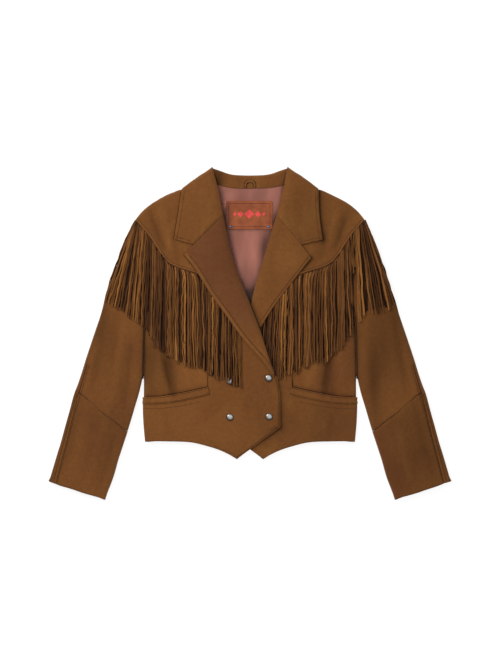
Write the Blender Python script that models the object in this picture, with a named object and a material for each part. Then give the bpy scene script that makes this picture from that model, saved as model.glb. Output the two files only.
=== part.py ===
"""A fringed suede jacket, double-breasted, laid flat on its back.

Metres, +Z up. The collar points to +Y and the wearer's right arm to -X.
Each panel is a wall of suede, worked out from its own edges as it lies.

Tables hold millimetres. "out" is the distance from the centre line towards
the side that the piece belongs to, and "up" is the distance towards the
collar from the middle of the jacket's length.
"""

import math

import bmesh
import bpy
import numpy as np

MM = 0.001

# ---- driving sizes, in millimetres ----

PLY = 1.6             # suede wall
LINING_PLY = 1.0
TURNED_PLY = 1.8      # lapel and collar
FRINGE_PLY = 1.4
WELT_PLY = 1.2
WELT_LIFT = 0.5
SEAM = 0.3            # each edge at a seam stands back this far from the seam line
REST_GAP = 0.35       # clearance where one piece lies on another
FOLD = 6.0            # radius of the side folds
LAID = 2 * FOLD       # height of the body, from the table to its outer face
CENTRE_UP = -1.05     # middle of the outline, from collar peak to cuff corner
ARC_STEPS = 2         # facets in a quarter turn
FRONT_ROWS = 15       # rows of faces from a front's hem to its yoke seam
SKIRT_ROWS = 3        # of these, rows below the pocket
MOUTH_ROWS = 3        # and rows along the pocket mouth
FALL_COLUMNS = 4      # columns of faces across a collar fall

RIGHT = -1            # the wearer's right, at -X
LEFT = 1

LAPEL_LIFT = 2.6      # room under lapel and collar for the fringe
LAP_DEPTH = 2.8       # how far the under front sinks below the upper one
LAP_BLEND = 30.0
LAP_MARGIN = 12.0     # it is fully down this far before the upper one's edge
YOKE_CLEARANCE = 0.9  # the yoke stands back from its seam, where the fringe is sewn in
ARMHOLE_GAP = 0.7     # the side front stands back from the armhole seam
BACK_GAP = 1.5        # the back stands back from the armhole seam
POCKET_DEPTH = 3.1    # how far the side front sinks into the pocket mouth
POCKET_BLEND = 38.0
POCKET_TUCK = 9.0     # length of side front hidden in the pocket
ROLL_INSET = 3.4      # the front's own edge stays this far inside the roll
BREAK_UP = -92.0      # the lapel ends here, and the front shows its own edge

# ---- outlines: columns are out, up ----

SHOULDER = [
    (240.4, 240.6), (218.0, 262.0), (195.0, 279.0), (161.0, 296.0),
    (147.0, 301.3), (125.0, 300.5), (100.0, 303.5), (79.0, 303.5),
]
YOKE_SEAM = [
    (239.6, 237.0), (228.9, 227.0), (210.0, 203.7), (197.4, 184.8), (182.7, 161.7),
    (168.0, 147.0), (151.2, 138.6), (130.2, 132.3), (105.0, 123.9), (88.0, 118.3),
]
YOKE_SEAM_INNER = [(88.0, 118.3), (73.5, 113.4), (42.0, 100.8), (16.0, 91.0)]
ARMHOLE = [(239.6, 237.0), (229.0, 190.0), (219.5, 130.0), (212.0, 69.0)]
UPPER_SIDE = [(212.0, 69.0), (217.0, 30.0), (219.5, 0.0), (221.5, -50.0), (222.3, -100.0)]
LOWER_SIDE = [(224.9, -134.4), (225.2, -150.0), (224.3, -170.0), (222.2, -208.0), (220.0, -227.0)]
BACK_SIDE = [(220.0, -222.0), (222.6, -160.0), (222.3, -100.0), (219.5, 0.0), (212.0, 69.0)]
BACK_NECK = [(79.0, 303.5), (40.0, 299.5), (0.0, 298.5), (-40.0, 299.5), (-79.0, 303.5)]
POCKET = [(87.6, -113.4), (126.0, -121.8), (157.5, -128.1), (189.0, -133.4), (224.9, -134.4)]
POCKET_START = (217.0, -134.4)    # where the front's side fold ends, on the pocket mouth
WELT_FOOT = [(84.0, -128.1), (105.0, -133.4), (147.0, -142.8), (189.0, -148.0), (225.2, -148.0)]
HEM = [
    (220.0, -227.0), (180.0, -225.8), (147.0, -226.4), (105.0, -231.8),
    (73.0, -241.5), (52.7, -250.0), (27.3, -263.6),
]
ROLL = {
    RIGHT: [
        (56.0, 247.0), (50.4, 220.5), (42.0, 180.6), (35.7, 159.6),
        (25.2, 126.0), (16.8, 102.9), (0.0, 63.0),
    ],
    LEFT: [
        (56.0, 247.0), (46.2, 216.3), (37.8, 189.0), (29.4, 159.6),
        (21.0, 132.3), (12.0, 102.0), (0.8, 64.5),
    ],
}
FRONT_EDGE = [
    (0.0, 63.0), (-21.0, 8.4), (-31.5, -25.2), (-42.0, -56.7),
    (-52.5, -86.1), (-60.9, -109.2), (-63.8, -140.0), (-64.1, -197.4),
]
HEM_POINT = (27.3, -263.6)
NECK_EDGE = {
    RIGHT: [(78.7, 346.5), (73.5, 327.6), (68.3, 308.7), (63.0, 285.6), (56.0, 247.0)],
    LEFT: [(78.7, 346.5), (74.6, 327.6), (71.4, 308.7), (65.5, 285.6), (56.0, 247.0)],
}
COLLAR_EDGE = {
    RIGHT: [(138.0, 306.6), (143.9, 298.2), (147.0, 273.0), (153.3, 233.1), (159.6, 196.4)],
    LEFT: [(139.7, 305.6), (143.9, 298.2), (144.2, 268.8), (147.0, 233.1), (152.3, 195.3)],
}
NOTCH = {RIGHT: (117.6, 184.8), LEFT: (107.1, 184.8)}
LAPEL_TIP = {RIGHT: (138.6, 163.8), LEFT: (128.1, 157.5)}
LAPEL_EDGE = {
    RIGHT: [
        (138.6, 163.8), (115.5, 134.4), (84.0, 84.0), (63.0, 54.6), (42.0, 25.2),
        (21.0, -4.2), (0.0, -29.4), (-21.0, -52.5), (-42.0, -79.8), (-51.2, -93.6),
    ],
    LEFT: [(128.1, 157.5), (105.0, 128.1), (84.0, 100.8), (63.0, 73.5), (42.0, 44.1), (22.8, 12.6)],
}
BREAK_POINT = (-54.4, BREAK_UP)                  # foot of the wearer's right lapel
LAPEL_HIDDEN_EDGE = [(1.4, 64.0), (20.4, 12.0)]  # of the other lapel, under the first
STAND_SEAM = [(-68.0, 311.3), (-42.0, 304.5), (0.0, 302.4), (42.0, 304.5), (70.2, 311.0)]
STAND_FOLD = [(-77.2, 345.6), (-55.7, 338.1), (-37.8, 331.8), (0.0, 329.1),
              (37.8, 331.8), (55.7, 338.1), (77.2, 345.6)]

# Half the lining's width, which runs on under the lapels. Columns: up, half width.
LINING_WIDTH = [(314.0, 76.0), (285.0, 76.0), (250.0, 71.0), (200.0, 62.0), (150.0, 48.0),
                (100.0, 32.0), (45.0, 18.0)]

SLEEVE_OUTER = [
    (241.4, 234.0), (250.0, 219.0), (260.5, 195.0), (271.0, 170.0), (286.5, 128.0),
    (300.5, 86.0), (311.0, 44.0), (330.8, -14.7), (344.6, -56.7), (358.5, -98.7), (366.4, -123.5),
]
SLEEVE_INNER = [
    (213.0, 68.0), (219.6, 35.0), (222.2, 0.0), (224.2, -50.0), (225.2, -94.5),
    (237.1, -140.7), (249.3, -182.7), (256.2, -205.4),
]
ELBOW = [(366.4, -123.5), (336.0, -140.7), (294.0, -175.4), (268.8, -198.5), (256.2, -205.4)]
CUFF_OUTER = [(367.7, -124.6), (380.1, -165.9), (391.4, -207.9), (403.6, -249.9), (420.2, -308.7)]
CUFF_INNER = [(256.2, -206.2), (262.3, -224.7), (273.4, -258.3), (287.3, -300.3), (303.5, -348.6)]
CUFF = [(420.2, -308.7), (362.0, -328.0), (303.5, -348.6)]
SLEEVE_CROWN = 5.0        # extra height half way down the upper sleeve
FOREARM_CROWN = (4.0, 2.0)   # at the elbow and at the cuff
BACK_SEAM = (9.0, 14.5)      # from the outer edge, at the elbow and at the cuff
UNDER_SEAM_SHARE = 0.35      # where the strip's second seam lies, underneath

# Roots and tips of the fringe. Columns: root out, root up, tip out, tip up.
FRINGE = [
    (238.0, 232.8, 307.0, 65.1), (228.9, 226.6, 275.0, 48.0), (219.0, 213.5, 250.0, 32.0),
    (210.0, 201.8, 233.0, 23.0), (197.4, 182.8, 214.0, 0.0), (182.7, 159.7, 191.0, -31.0),
    (168.0, 145.0, 171.0, -49.0), (151.2, 136.6, 151.0, -61.0), (130.2, 130.3, 129.0, -70.4),
    (105.0, 121.9, 104.0, -77.7), (73.5, 111.4, 73.5, -92.4), (42.0, 98.8, 42.0, -106.0),
    (17.0, 89.0, 17.5, -117.6),
]
STRAND_PITCH = 3.6
STRIP_LIFT = 0.6          # clearance under the sewn strip
STRAND_LIFT = 0.45        # clearance under the strands
STRAND_SHARE = 0.72       # of the pitch that a strand fills
STRAND_WIDEST = 4.2       # widest pitch at the tips
STRAND_SWAY = 1.6         # how far a strand bows aside
STRAND_STEPS = (0.5, 1.0)        # where along its length a strand bends
CAP_STEPS = (0.35, 0.7, 1.0)     # the same for those over the sleeve
STRAND_PROBES = 12        # places under each stretch where its height is tried
TIP_UNEVEN = 3.0
STRIP_WIDTH = 4.0
STRIP_PROBES = (0.0, 0.5, 1.0, 2.0, 3.5, 5.0)   # in strip widths from the root
CAP_OUT = 190.0           # strands rooted beyond this fall over the sleeve
FRINGE_INNER = {RIGHT: 17.0, LEFT: 26.0}   # the row ends this far from the centre
EDGE_CLEARANCE = 2.5      # strands that meet the front edge end this far from it

# Largest soft folds. Columns: piece, side, from out, from up, to out, to up, half width, height.
CREASES = [
    ("side front", RIGHT, 168.0, -52.0, 154.0, -118.0, 26.0, -2.2),
    ("side front", RIGHT, 192.0, -60.0, 186.0, -108.0, 24.0, 1.4),
    ("side front", LEFT, 170.0, -62.0, 155.0, -116.0, 25.0, -2.0),
    ("side front", LEFT, 196.0, -48.0, 190.0, -106.0, 24.0, 1.3),
    ("yoke", RIGHT, 204.0, 254.0, 184.0, 192.0, 25.0, -1.6),
    ("yoke", LEFT, 202.0, 248.0, 186.0, 196.0, 25.0, -1.7),
    ("sleeve", RIGHT, 318.0, -2.0, 338.0, -118.0, 30.0, -2.0),
    ("sleeve", RIGHT, 262.0, -10.0, 286.0, -150.0, 30.0, 1.6),
    ("sleeve", LEFT, 300.0, 6.0, 330.0, -112.0, 30.0, -2.2),
    ("sleeve", LEFT, 264.0, -30.0, 282.0, -140.0, 28.0, 1.5),
    ("sleeve", RIGHT, 356.0, -172.0, 384.0, -290.0, 26.0, -1.6),
    ("sleeve", LEFT, 338.0, -186.0, 372.0, -300.0, 26.0, -1.6),
]
PUFF = 2.2                # soft rise in the middle of each front
PUFF_AT = (118.0, -10.0)
PUFF_SIZE = (105.0, 210.0)

LABEL_BOX = (-50.4, 47.3, 217.4, 277.0)     # x from, x to, up from, up to
LABEL_CORNER = 4.0
RIVET_AT = [(-41.0, 222.6), (38.9, 222.6)]
RIVET_RADIUS = 2.6
RIVET_HEIGHT = 1.2
LOOP_HALF_WIDTH = 11.0
LOOP_HEIGHT = 17.0
LOOP_CORD = (3.6, 1.6)    # width and thickness
SNAP_RADIUS = 7.5
SNAP_HEIGHT = 3.0
SNAP_COLLAR = 1.0
SNAPS = [
    ("snap_upper_outer", 38.9, -94.5), ("snap_lower_outer", 39.9, -175.4),
    ("snap_upper_inner", -43.0, -100.8), ("snap_lower_inner", -42.0, -176.4),
]

# Base colours, roughness and metallic value.
FINISH = {
    "suede": ((0.185, 0.070, 0.020), 0.92, 0.0),
    "suede_dark": ((0.150, 0.055, 0.017), 0.92, 0.0),
    "fringe": ((0.160, 0.060, 0.017), 0.92, 0.0),
    "satin": ((0.330, 0.135, 0.105), 0.45, 0.0),
    "leather": ((0.310, 0.085, 0.035), 0.55, 0.0),
    "metal": ((0.600, 0.600, 0.610), 0.25, 1.0),
}


# ---- curves and patches ----

def smooth(points, samples=20):
    """A Catmull-Rom curve through the points, as a dense polyline."""
    knots = np.asarray(points, dtype=float)
    guide = np.vstack([2 * knots[0] - knots[1], knots, 2 * knots[-1] - knots[-2]])
    t = np.linspace(0.0, 1.0, samples, endpoint=False)[:, None]
    spans = []
    for a, b, c, d in zip(guide, guide[1:], guide[2:], guide[3:]):
        cubic = 3 * b - a - 3 * c + d
        square = 2 * a - 5 * b + 4 * c - d
        spans.append(0.5 * (2 * b + (c - a) * t + square * t ** 2 + cubic * t ** 3))
    return np.vstack(spans + [knots[-1:]])


def travel(line):
    """Reads a polyline at a share of its length."""
    steps = np.linalg.norm(np.diff(line, axis=0), axis=1)
    along = np.concatenate([[0.0], np.cumsum(steps)])

    def at(share):
        reach = share * along[-1]
        return np.array([np.interp(reach, along, column) for column in line.T])

    return at


def edge(*legs):
    """Joins legs, each (points, share of the way), into one edge that keeps its corners."""
    bounds = np.concatenate([[0.0], np.cumsum([share for _, share in legs])])
    bounds /= bounds[-1]
    readers = [travel(smooth(points)) for points, _ in legs]

    def at(share):
        share = min(max(share, 0.0), 1.0)
        leg = min(int(np.searchsorted(bounds, share + 1e-9, side="right")) - 1, len(legs) - 1)
        return readers[leg]((share - bounds[leg]) / (bounds[leg + 1] - bounds[leg]))

    return at


def moved(points, out=0.0, up=0.0):
    return [(x + out, y + up) for x, y in points]


def mirrored(points):
    return [(-x, y) for x, y in points]


def coons(start, end, low, high):
    """Fills four edges: start and end run with v, low and high run with u."""
    def at(u, v):
        across = (1 - u) * start(v) + u * end(v)
        along = (1 - v) * low(u) + v * high(u)
        corners = (1 - v) * ((1 - u) * start(0) + u * end(0)) + v * ((1 - u) * start(1) + u * end(1))
        return across + along - corners

    return at


def always(share):
    return 1.0


class Turn:
    """How one side of a panel turns: its plan reach, its drop or foot height, and how fully."""

    def __init__(self, reach=FOLD, drop=None, foot=FOLD, amount=always):
        self.reach = reach
        self.drop = drop
        self.foot = foot
        self.amount = amount

    def depth(self, z):
        return abs(z - self.foot) if self.drop is None else self.drop


def stations(length, count, start, end):
    """Places along a side of this length, each (share, angle at start, angle at end)."""
    quarter = math.pi / 2
    first = min(start.reach, length / 3) if start else 0.0
    last = min(end.reach, length / 3) if end else 0.0
    places = []
    for step in range(ARC_STEPS if start else 0):
        angle = quarter * step / ARC_STEPS
        places.append((first * (1 - math.cos(angle)) / length, angle, quarter))
    for step in range(count + 1):
        share = (first + (length - first - last) * step / count) / length
        places.append((share, quarter, quarter))
    for step in reversed(range(ARC_STEPS if end else 0)):
        angle = quarter * step / ARC_STEPS
        places.append((1 - last * (1 - math.cos(angle)) / length, quarter, angle))
    return places


def unit(vector):
    return vector / max(np.linalg.norm(vector), 1e-9)


def lean(normal, outward, depth, reach, angle, amount):
    """Tips a normal towards outward, as far as the turn has gone at this angle."""
    tip = math.atan2(depth * math.cos(angle), reach * math.sin(angle)) * amount
    return normal * math.cos(tip) + np.array([*outward, 0.0]) * math.sin(tip)


def steps_at(patch, u, v):
    """Directions in which u and v grow, in plan."""
    near = 1e-3
    step_u = unit(patch(min(u + near, 1), v) - patch(max(u - near, 0), v))
    step_v = unit(patch(u, min(v + near, 1)) - patch(u, max(v - near, 0)))
    return step_u, step_v


def lay_point(patch, height, counts, turns, facing, j, k, last):
    """One point of a laid panel and the normal of its outer face."""
    start, end, low, high = (turns.get(side) for side in ("start", "end", "low", "high"))
    u, v = k / last[0], j / last[1]
    for _ in range(3):
        wide = np.linalg.norm(patch(1, v) - patch(0, v))
        tall = np.linalg.norm(patch(u, 1) - patch(u, 0))
        u, start_angle, end_angle = stations(wide, counts[0], start, end)[k]
        v, low_angle, high_angle = stations(tall, counts[1], low, high)[j]
    step_u, step_v = steps_at(patch, u, v)
    x, y = patch(u, v)
    z = height(x, y, u, v)
    normal = np.array([0.0, 0.0, float(facing)])
    sides = [
        (start, start_angle, -step_u, v), (end, end_angle, step_u, v),
        (low, low_angle, -step_v, u), (high, high_angle, step_v, u),
    ]
    for turn, angle, outward, share in sides:
        if turn and angle < math.pi / 2:
            amount, depth = turn.amount(share), turn.depth(z)
            z -= depth * (1 - math.sin(angle)) * amount * normal[2]
            normal = lean(normal, outward, depth, turn.reach, angle, amount)
    return (x, y, z), unit(normal)


def lay(patch, height, counts, turns, facing=1):
    """Points and normals of a panel: its plan from the patch, its height from a function."""
    columns = len(stations(1.0, counts[0], turns.get("start"), turns.get("end")))
    rows = len(stations(1.0, counts[1], turns.get("low"), turns.get("high")))
    last = (columns - 1, rows - 1)
    laid = [
        [lay_point(patch, height, counts, turns, facing, j, k, last) for k in range(columns)]
        for j in range(rows)
    ]
    points = np.array([[point for point, _ in row] for row in laid])
    normals = np.array([[normal for _, normal in row] for row in laid])
    return points, normals


# ---- heights ----

def soft_step(share):
    share = min(max(share, 0.0), 1.0)
    return share * share * (3 - 2 * share)


def level(z):
    return lambda *_: z


def raised(height, amount):
    return lambda *place: height(*place) + amount


def relief(piece, side, out, up):
    """Height that the soft folds add or take away."""
    total = 0.0
    for fold_piece, fold_side, out_a, up_a, out_b, up_b, half_width, height in CREASES:
        if (fold_piece, fold_side) != (piece, side):
            continue
        run = np.array([out_b - out_a, up_b - up_a])
        share = np.dot([out - out_a, up - up_a], run) / np.dot(run, run)
        if not -0.25 < share < 1.25:
            continue
        off = abs(run[0] * (up - up_a) - run[1] * (out - out_a)) / np.linalg.norm(run)
        if off < half_width:
            fade = soft_step((share + 0.25) / 0.4) * soft_step((1.25 - share) / 0.4)
            total += height * fade * math.cos(math.pi * off / half_width / 2) ** 2
    return total


def front_height(side):
    """Outer face of the fronts; the wearer's left front sinks under the other."""
    upper_edge = smooth([(-60.0, 120.0)] + FRONT_EDGE + [HEM_POINT])
    edge_up = upper_edge[::-1, 1]
    edge_x = -upper_edge[::-1, 0]

    def height(out, up, *_):
        puff_u = (out - PUFF_AT[0]) / PUFF_SIZE[0]
        puff_v = (up - PUFF_AT[1]) / PUFF_SIZE[1]
        puff = PUFF * soft_step(1 - math.hypot(puff_u, puff_v))
        z = LAID + puff
        if side == LEFT:
            past = np.interp(up, edge_up, edge_x) + LAP_BLEND + LAP_MARGIN - out
            z -= LAP_DEPTH * soft_step(past / LAP_BLEND)
        return z

    return height


def yoke_height(side):
    def height(out, up, *_):
        return front_height(side)(out, up) + relief("yoke", side, out, up)

    return height


def side_front_height(side):
    mouth = smooth(POCKET)

    def height(out, up, *_):
        above = up - np.interp(out, mouth[:, 0], mouth[:, 1])
        sunk = POCKET_DEPTH * soft_step(1 - (above - 5.0) / POCKET_BLEND)
        return front_height(side)(out, up) + relief("side front", side, out, up) - sunk

    return height


# ---- meshes ----

def finish(name, kind):
    colour, roughness, metallic = FINISH[kind]
    material = bpy.data.materials.new(name)
    material.use_nodes = True
    shader = material.node_tree.nodes["Principled BSDF"]
    shader.inputs["Base Color"].default_value = (*colour, 1.0)
    shader.inputs["Roughness"].default_value = roughness
    shader.inputs["Metallic"].default_value = metallic
    return material


def add_object(name, vertices, faces, kind, side=1):
    """Makes one closed body from points in millimetres, mirrored for the wearer's right."""
    mesh = bpy.data.meshes.new(name)
    placed = [(side * x * MM, (y - CENTRE_UP) * MM, z * MM) for x, y, z in vertices]
    mesh.from_pydata(placed, [], faces)
    shell = bmesh.new()
    shell.from_mesh(mesh)
    bmesh.ops.recalc_face_normals(shell, faces=shell.faces)
    if shell.calc_volume(signed=True) < 0:
        bmesh.ops.reverse_faces(shell, faces=shell.faces)
    bmesh.ops.triangulate(shell, faces=[face for face in shell.faces if len(face.verts) > 4])
    shell.to_mesh(mesh)
    shell.free()
    mesh.shade_smooth()
    mesh.set_sharp_from_angle(angle=math.radians(40))
    mesh.materials.append(finish(name, kind))
    item = bpy.data.objects.new(name, mesh)
    bpy.context.scene.collection.objects.link(item)
    return item


def wall(name, outer, inner, kind, side=1, ring=False):
    """Closes two grids of points, one for each face of the cloth, into one body."""
    rows, columns = len(outer), len(outer[0])
    vertices = [*np.reshape(outer, (-1, 3)), *np.reshape(inner, (-1, 3))]
    under = rows * columns

    def at(j, k):
        return j * columns + k % columns

    spans = columns if ring else columns - 1
    faces = []
    for j in range(rows - 1):
        for k in range(spans):
            quad = [at(j, k), at(j, k + 1), at(j + 1, k + 1), at(j + 1, k)]
            faces.append(quad)
            faces.append([under + corner for corner in reversed(quad)])
    for j in (0, rows - 1):
        for k in range(spans):
            faces.append([at(j, k), at(j, k + 1), under + at(j, k + 1), under + at(j, k)])
    for k in () if ring else (0, columns - 1):
        for j in range(rows - 1):
            faces.append([at(j, k), at(j + 1, k), under + at(j + 1, k), under + at(j, k)])
    return add_object(name, vertices, faces, kind, side)


def panel(name, laid, kind, side=1, under=-PLY, over=0.0):
    """A panel between two distances from the laid surface."""
    points, normals = laid
    wall(name, points + normals * over, points + normals * under, kind, side)
    return points + normals * over


def dome(name, x, up, base, radius, height, kind, collar=0.0, sides=12):
    """A round cap on a short straight collar."""
    rings = [(radius, base), (radius, base + max(collar, 0.3))]
    crown = height - max(collar, 0.3)
    for share in (0.45, 0.8):
        rise = math.pi / 2 * share
        rings.append((radius * math.cos(rise), rings[1][1] + crown * math.sin(rise)))
    vertices = []
    for ring_radius, z in rings:
        for step in range(sides):
            turn = 2 * math.pi * step / sides
            vertices.append((x + ring_radius * math.cos(turn), up + ring_radius * math.sin(turn), z))
    faces = [list(reversed(range(sides)))]
    for ring in range(len(rings) - 1):
        for step in range(sides):
            a, b = ring * sides + step, ring * sides + (step + 1) % sides
            faces.append([a, b, b + sides, a + sides])
    top = (len(rings) - 1) * sides
    vertices.append((x, up, base + height))
    for step in range(sides):
        faces.append([top + step, top + (step + 1) % sides, len(vertices) - 1])
    return add_object(name, vertices, faces, kind)


# ---- body ----

def make_yoke(side, name):
    top_up = YOKE_SEAM_INNER[-1][1] + 6
    roll = [(x + ROLL_INSET, y) for x, y in smooth(ROLL[side])[::-12] if y > top_up]
    neck_ups = (ROLL[side][0][1] + 3, SHOULDER[-1][1] - 6)
    neck = [(x + ROLL_INSET, y) for x, y in smooth(NECK_EDGE[side])[::-12] if neck_ups[0] < y < neck_ups[1]]
    outer_seam = moved(YOKE_SEAM, up=YOKE_CLEARANCE)
    seam = edge((outer_seam, 0.62), (moved(YOKE_SEAM_INNER, up=YOKE_CLEARANCE), 0.38))
    tip = edge(([seam(0), SHOULDER[0]], 1))
    front = edge(([seam(1), *roll, *neck, SHOULDER[-1]], 1))
    patch = coons(tip, front, seam, edge((SHOULDER, 1)))
    laid = lay(patch, yoke_height(side), (14, 7), {"high": Turn()})
    return panel(name, laid, "suede", side)


def make_side_front(side, name):
    def below_armhole(share):
        return soft_step((0.57 - share) / 0.02)

    mouth = moved(POCKET, up=-POCKET_TUCK)
    armhole = moved(reversed(ARMHOLE), out=-ARMHOLE_GAP)
    side_seam = list(reversed(moved(UPPER_SIDE[1:], out=-SEAM)))
    flank = [(UPPER_SIDE[-1][0] - 1.5, mouth[-1][1]), *side_seam, armhole[0]]
    outer = edge((flank, 7), (armhole, 6))
    seam_out = YOKE_SEAM[-1][0] + SEAM
    inner = edge(([(seam_out, mouth[0][1]), (seam_out, YOKE_SEAM[-1][1] - SEAM)], 1))
    bottom = edge(([outer(0), *reversed(mouth[1:-1]), inner(0)], 1))
    top = edge(([outer(1), *moved(YOKE_SEAM[1:-1], up=-SEAM), inner(1)], 1))
    patch = coons(outer, inner, bottom, top)
    laid = lay(patch, side_front_height(side), (7, 13), {"start": Turn(amount=below_armhole)})
    return panel(name, laid, "suede", side)


def make_front(side, name):
    def below_pocket(share):
        return 1.0 if share < (SKIRT_ROWS + 0.1) / FRONT_ROWS else 0.0

    seam_out = YOKE_SEAM[-1][0] - SEAM
    corner = (seam_out, POCKET[0][1])
    seam_top = (seam_out, YOKE_SEAM[-1][1] - SEAM)
    outer = edge(
        (list(reversed(LOWER_SIDE)), SKIRT_ROWS),
        ([LOWER_SIDE[0], POCKET_START], 1),
        ([POCKET_START, *reversed(POCKET[1:-1]), corner], MOUTH_ROWS),
        ([corner, seam_top], FRONT_ROWS - SKIRT_ROWS - MOUTH_ROWS - 1),
    )
    rolled = smooth([*ROLL[side][:-1], *FRONT_EDGE])
    seam_up = YOKE_SEAM_INNER[-1][1] - SEAM
    rolled = [(x + ROLL_INSET, y) for x, y in rolled if BREAK_UP < y < seam_up]
    own_edge = [point for point in FRONT_EDGE if point[1] < BREAK_UP]
    inner = edge(
        ([HEM_POINT, FRONT_EDGE[-1]], SKIRT_ROWS),
        ([*reversed(own_edge), *rolled[:3:-16], rolled[0]], FRONT_ROWS - SKIRT_ROWS),
    )
    top = edge(([outer(1), *moved(YOKE_SEAM_INNER[1:-1], up=-SEAM), inner(1)], 1))
    patch = coons(outer, inner, edge((HEM, 1)), top)
    laid = lay(patch, front_height(side), (7, FRONT_ROWS), {"start": Turn(amount=below_pocket)})
    return panel(name, laid, "suede", side)


def make_welt(side, name, front):
    ground = Ground([front], [])

    patch = coons(
        edge(([WELT_FOOT[-1], POCKET[-1]], 1)),
        edge(([WELT_FOOT[0], POCKET[0]], 1)),
        edge((list(reversed(WELT_FOOT)), 1)),
        edge((list(reversed(POCKET)), 1)),
    )

    def height(out, up, *_):
        return max(ground.at(out, up), ground.at(out, up - 1), front_height(side)(out, up))

    laid = lay(patch, height, (8, 1), {"start": Turn()})
    panel(name, laid, "suede", side, WELT_LIFT, WELT_LIFT + WELT_PLY)


def make_back(name):
    def beside_body(share):
        return soft_step((0.58 - share) / 0.02)

    def on_shoulder(share):
        return soft_step((abs(share - 0.5) - 0.21) / 0.03)

    armhole = list(reversed(moved(ARMHOLE, out=-BACK_GAP)))
    flank = [*moved(BACK_SIDE[:-1], out=-SEAM), armhole[0]]
    shoulder = [armhole[-1], *SHOULDER[1:]]
    start = edge((mirrored(flank), 5), (mirrored(armhole), 4.1))
    end = edge((flank, 5), (armhole, 4.1))
    top = edge((mirrored(shoulder), 0.36), (mirrored(BACK_NECK), 0.28), (shoulder[::-1], 0.36))
    hem = edge(([start(0), (0.0, BACK_SIDE[0][1]), end(0)], 1))
    patch = coons(start, end, hem, top)
    side_turn = Turn(foot=FOLD - REST_GAP, amount=beside_body)
    top_turn = Turn(foot=FOLD - REST_GAP, amount=on_shoulder)
    laid = lay(patch, level(0.0), (10, 9), {"start": side_turn, "end": side_turn, "high": top_turn}, -1)
    panel(name, laid, "suede")


def make_lining(name):
    ups = [up for up, _ in LINING_WIDTH]
    right = edge(([(-width, up) for up, width in reversed(LINING_WIDTH)], 1))
    left = edge(([(width, up) for up, width in reversed(LINING_WIDTH)], 1))
    bottom = edge(([right(0), (0.0, ups[-1]), left(0)], 1))
    top = edge(([right(1), *moved(STAND_SEAM[1:-1], up=3.0), left(1)], 1))
    patch = coons(right, left, bottom, top)
    outer_face = PLY + REST_GAP + LINING_PLY
    laid = lay(patch, level(outer_face), (4, 6), {})
    panel(name, laid, "satin", under=-LINING_PLY)


# ---- collar and lapels ----

ROLL_TURN = Turn(reach=3.5, drop=3.5)
TURNED_FACE = LAPEL_LIFT + TURNED_PLY


def above_hidden_edge(share):
    return soft_step((0.77 - share) / 0.04)


def make_lapel(side, name):
    gorge = [NECK_EDGE[side][-1], NOTCH[side], LAPEL_TIP[side]]
    gorge = edge((moved(gorge, up=-SEAM), 1))
    if side == RIGHT:
        front = [point for point in FRONT_EDGE if point[1] > BREAK_UP]
        roll = edge(([gorge(0), *ROLL[side][1:-1], *front, BREAK_POINT], 1))
        turn = ROLL_TURN
    else:
        start, end = LAPEL_HIDDEN_EDGE
        roll = edge(([gorge(0), *ROLL[side][1:-1], start], 0.75), ([start, end], 0.25))
        turn = Turn(ROLL_TURN.reach, ROLL_TURN.drop, amount=above_hidden_edge)
    outer = edge(([gorge(1), *LAPEL_EDGE[side][1:]], 1))
    patch = coons(roll, outer, gorge, edge(([roll(1), outer(1)], 1)))
    laid = lay(patch, raised(front_height(RIGHT), TURNED_FACE), (4, 14), {"start": turn})
    panel(name, laid, "suede_dark", side, under=-TURNED_PLY)


def make_collar_fall(side, name):
    neck = edge((NECK_EDGE[side][::-1], 1))
    outer = edge((COLLAR_EDGE[side][::-1], 1))
    notch, tip = np.array(NOTCH[side]), outer(0)
    turned = ROLL_TURN.reach / np.linalg.norm(tip - neck(0))
    to_notch = turned + (1 - turned) / 2
    gorge, lower = moved([neck(0), notch], up=SEAM), moved([notch, tip], up=SEAM)
    bottom = edge((gorge, to_notch), (lower, 1 - to_notch))
    top = edge(([neck(1), outer(1)], 1))
    patch = coons(neck, outer, bottom, top)
    over_shoulder = Turn(reach=7.0, drop=LAID + TURNED_FACE - 2.0)
    turns = {"start": ROLL_TURN, "high": over_shoulder}
    laid = lay(patch, raised(level(LAID), TURNED_FACE), (FALL_COLUMNS, 6), turns)
    panel(name, laid, "suede", side, under=-TURNED_PLY)


def stand_height(x, up, u, v):
    lift = 4.0 + 3.0 * (2 * u - 1) ** 2
    return PLY + LINING_PLY + 2 * REST_GAP + PLY + 0.1 + lift * v


def make_stand(name):
    start = edge(([STAND_SEAM[0], STAND_FOLD[0]], 1))
    end = edge(([STAND_SEAM[-1], STAND_FOLD[-1]], 1))
    patch = coons(start, end, edge((STAND_SEAM, 1)), edge((STAND_FOLD, 1)))
    laid = lay(patch, stand_height, (10, 2), {"high": Turn(reach=4.0, drop=8.0)})
    panel(name, laid, "suede")


# ---- neck trim ----

def make_label(name):
    x_from, x_to, up_from, up_to = LABEL_BOX
    left, right = x_from + LABEL_CORNER, x_to - LABEL_CORNER
    low, high = up_from + LABEL_CORNER, up_to - LABEL_CORNER
    centres = [(right, high, 0), (left, high, 1), (left, low, 2), (right, low, 3)]
    outline = []
    for x, up, quarter in centres:
        for step in range(4):
            turn = math.pi / 2 * (quarter + step / 3)
            outline.append((x + LABEL_CORNER * math.cos(turn), up + LABEL_CORNER * math.sin(turn)))
    base = PLY + LINING_PLY + 2 * REST_GAP
    count = len(outline)
    vertices = [(x, up, base) for x, up in outline] + [(x, up, base + PLY) for x, up in outline]
    faces = [list(range(count)), list(range(count, 2 * count))]
    for step in range(count):
        after = (step + 1) % count
        faces.append([step, after, count + after, count + step])
    add_object(name, vertices, faces, "leather")


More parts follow.
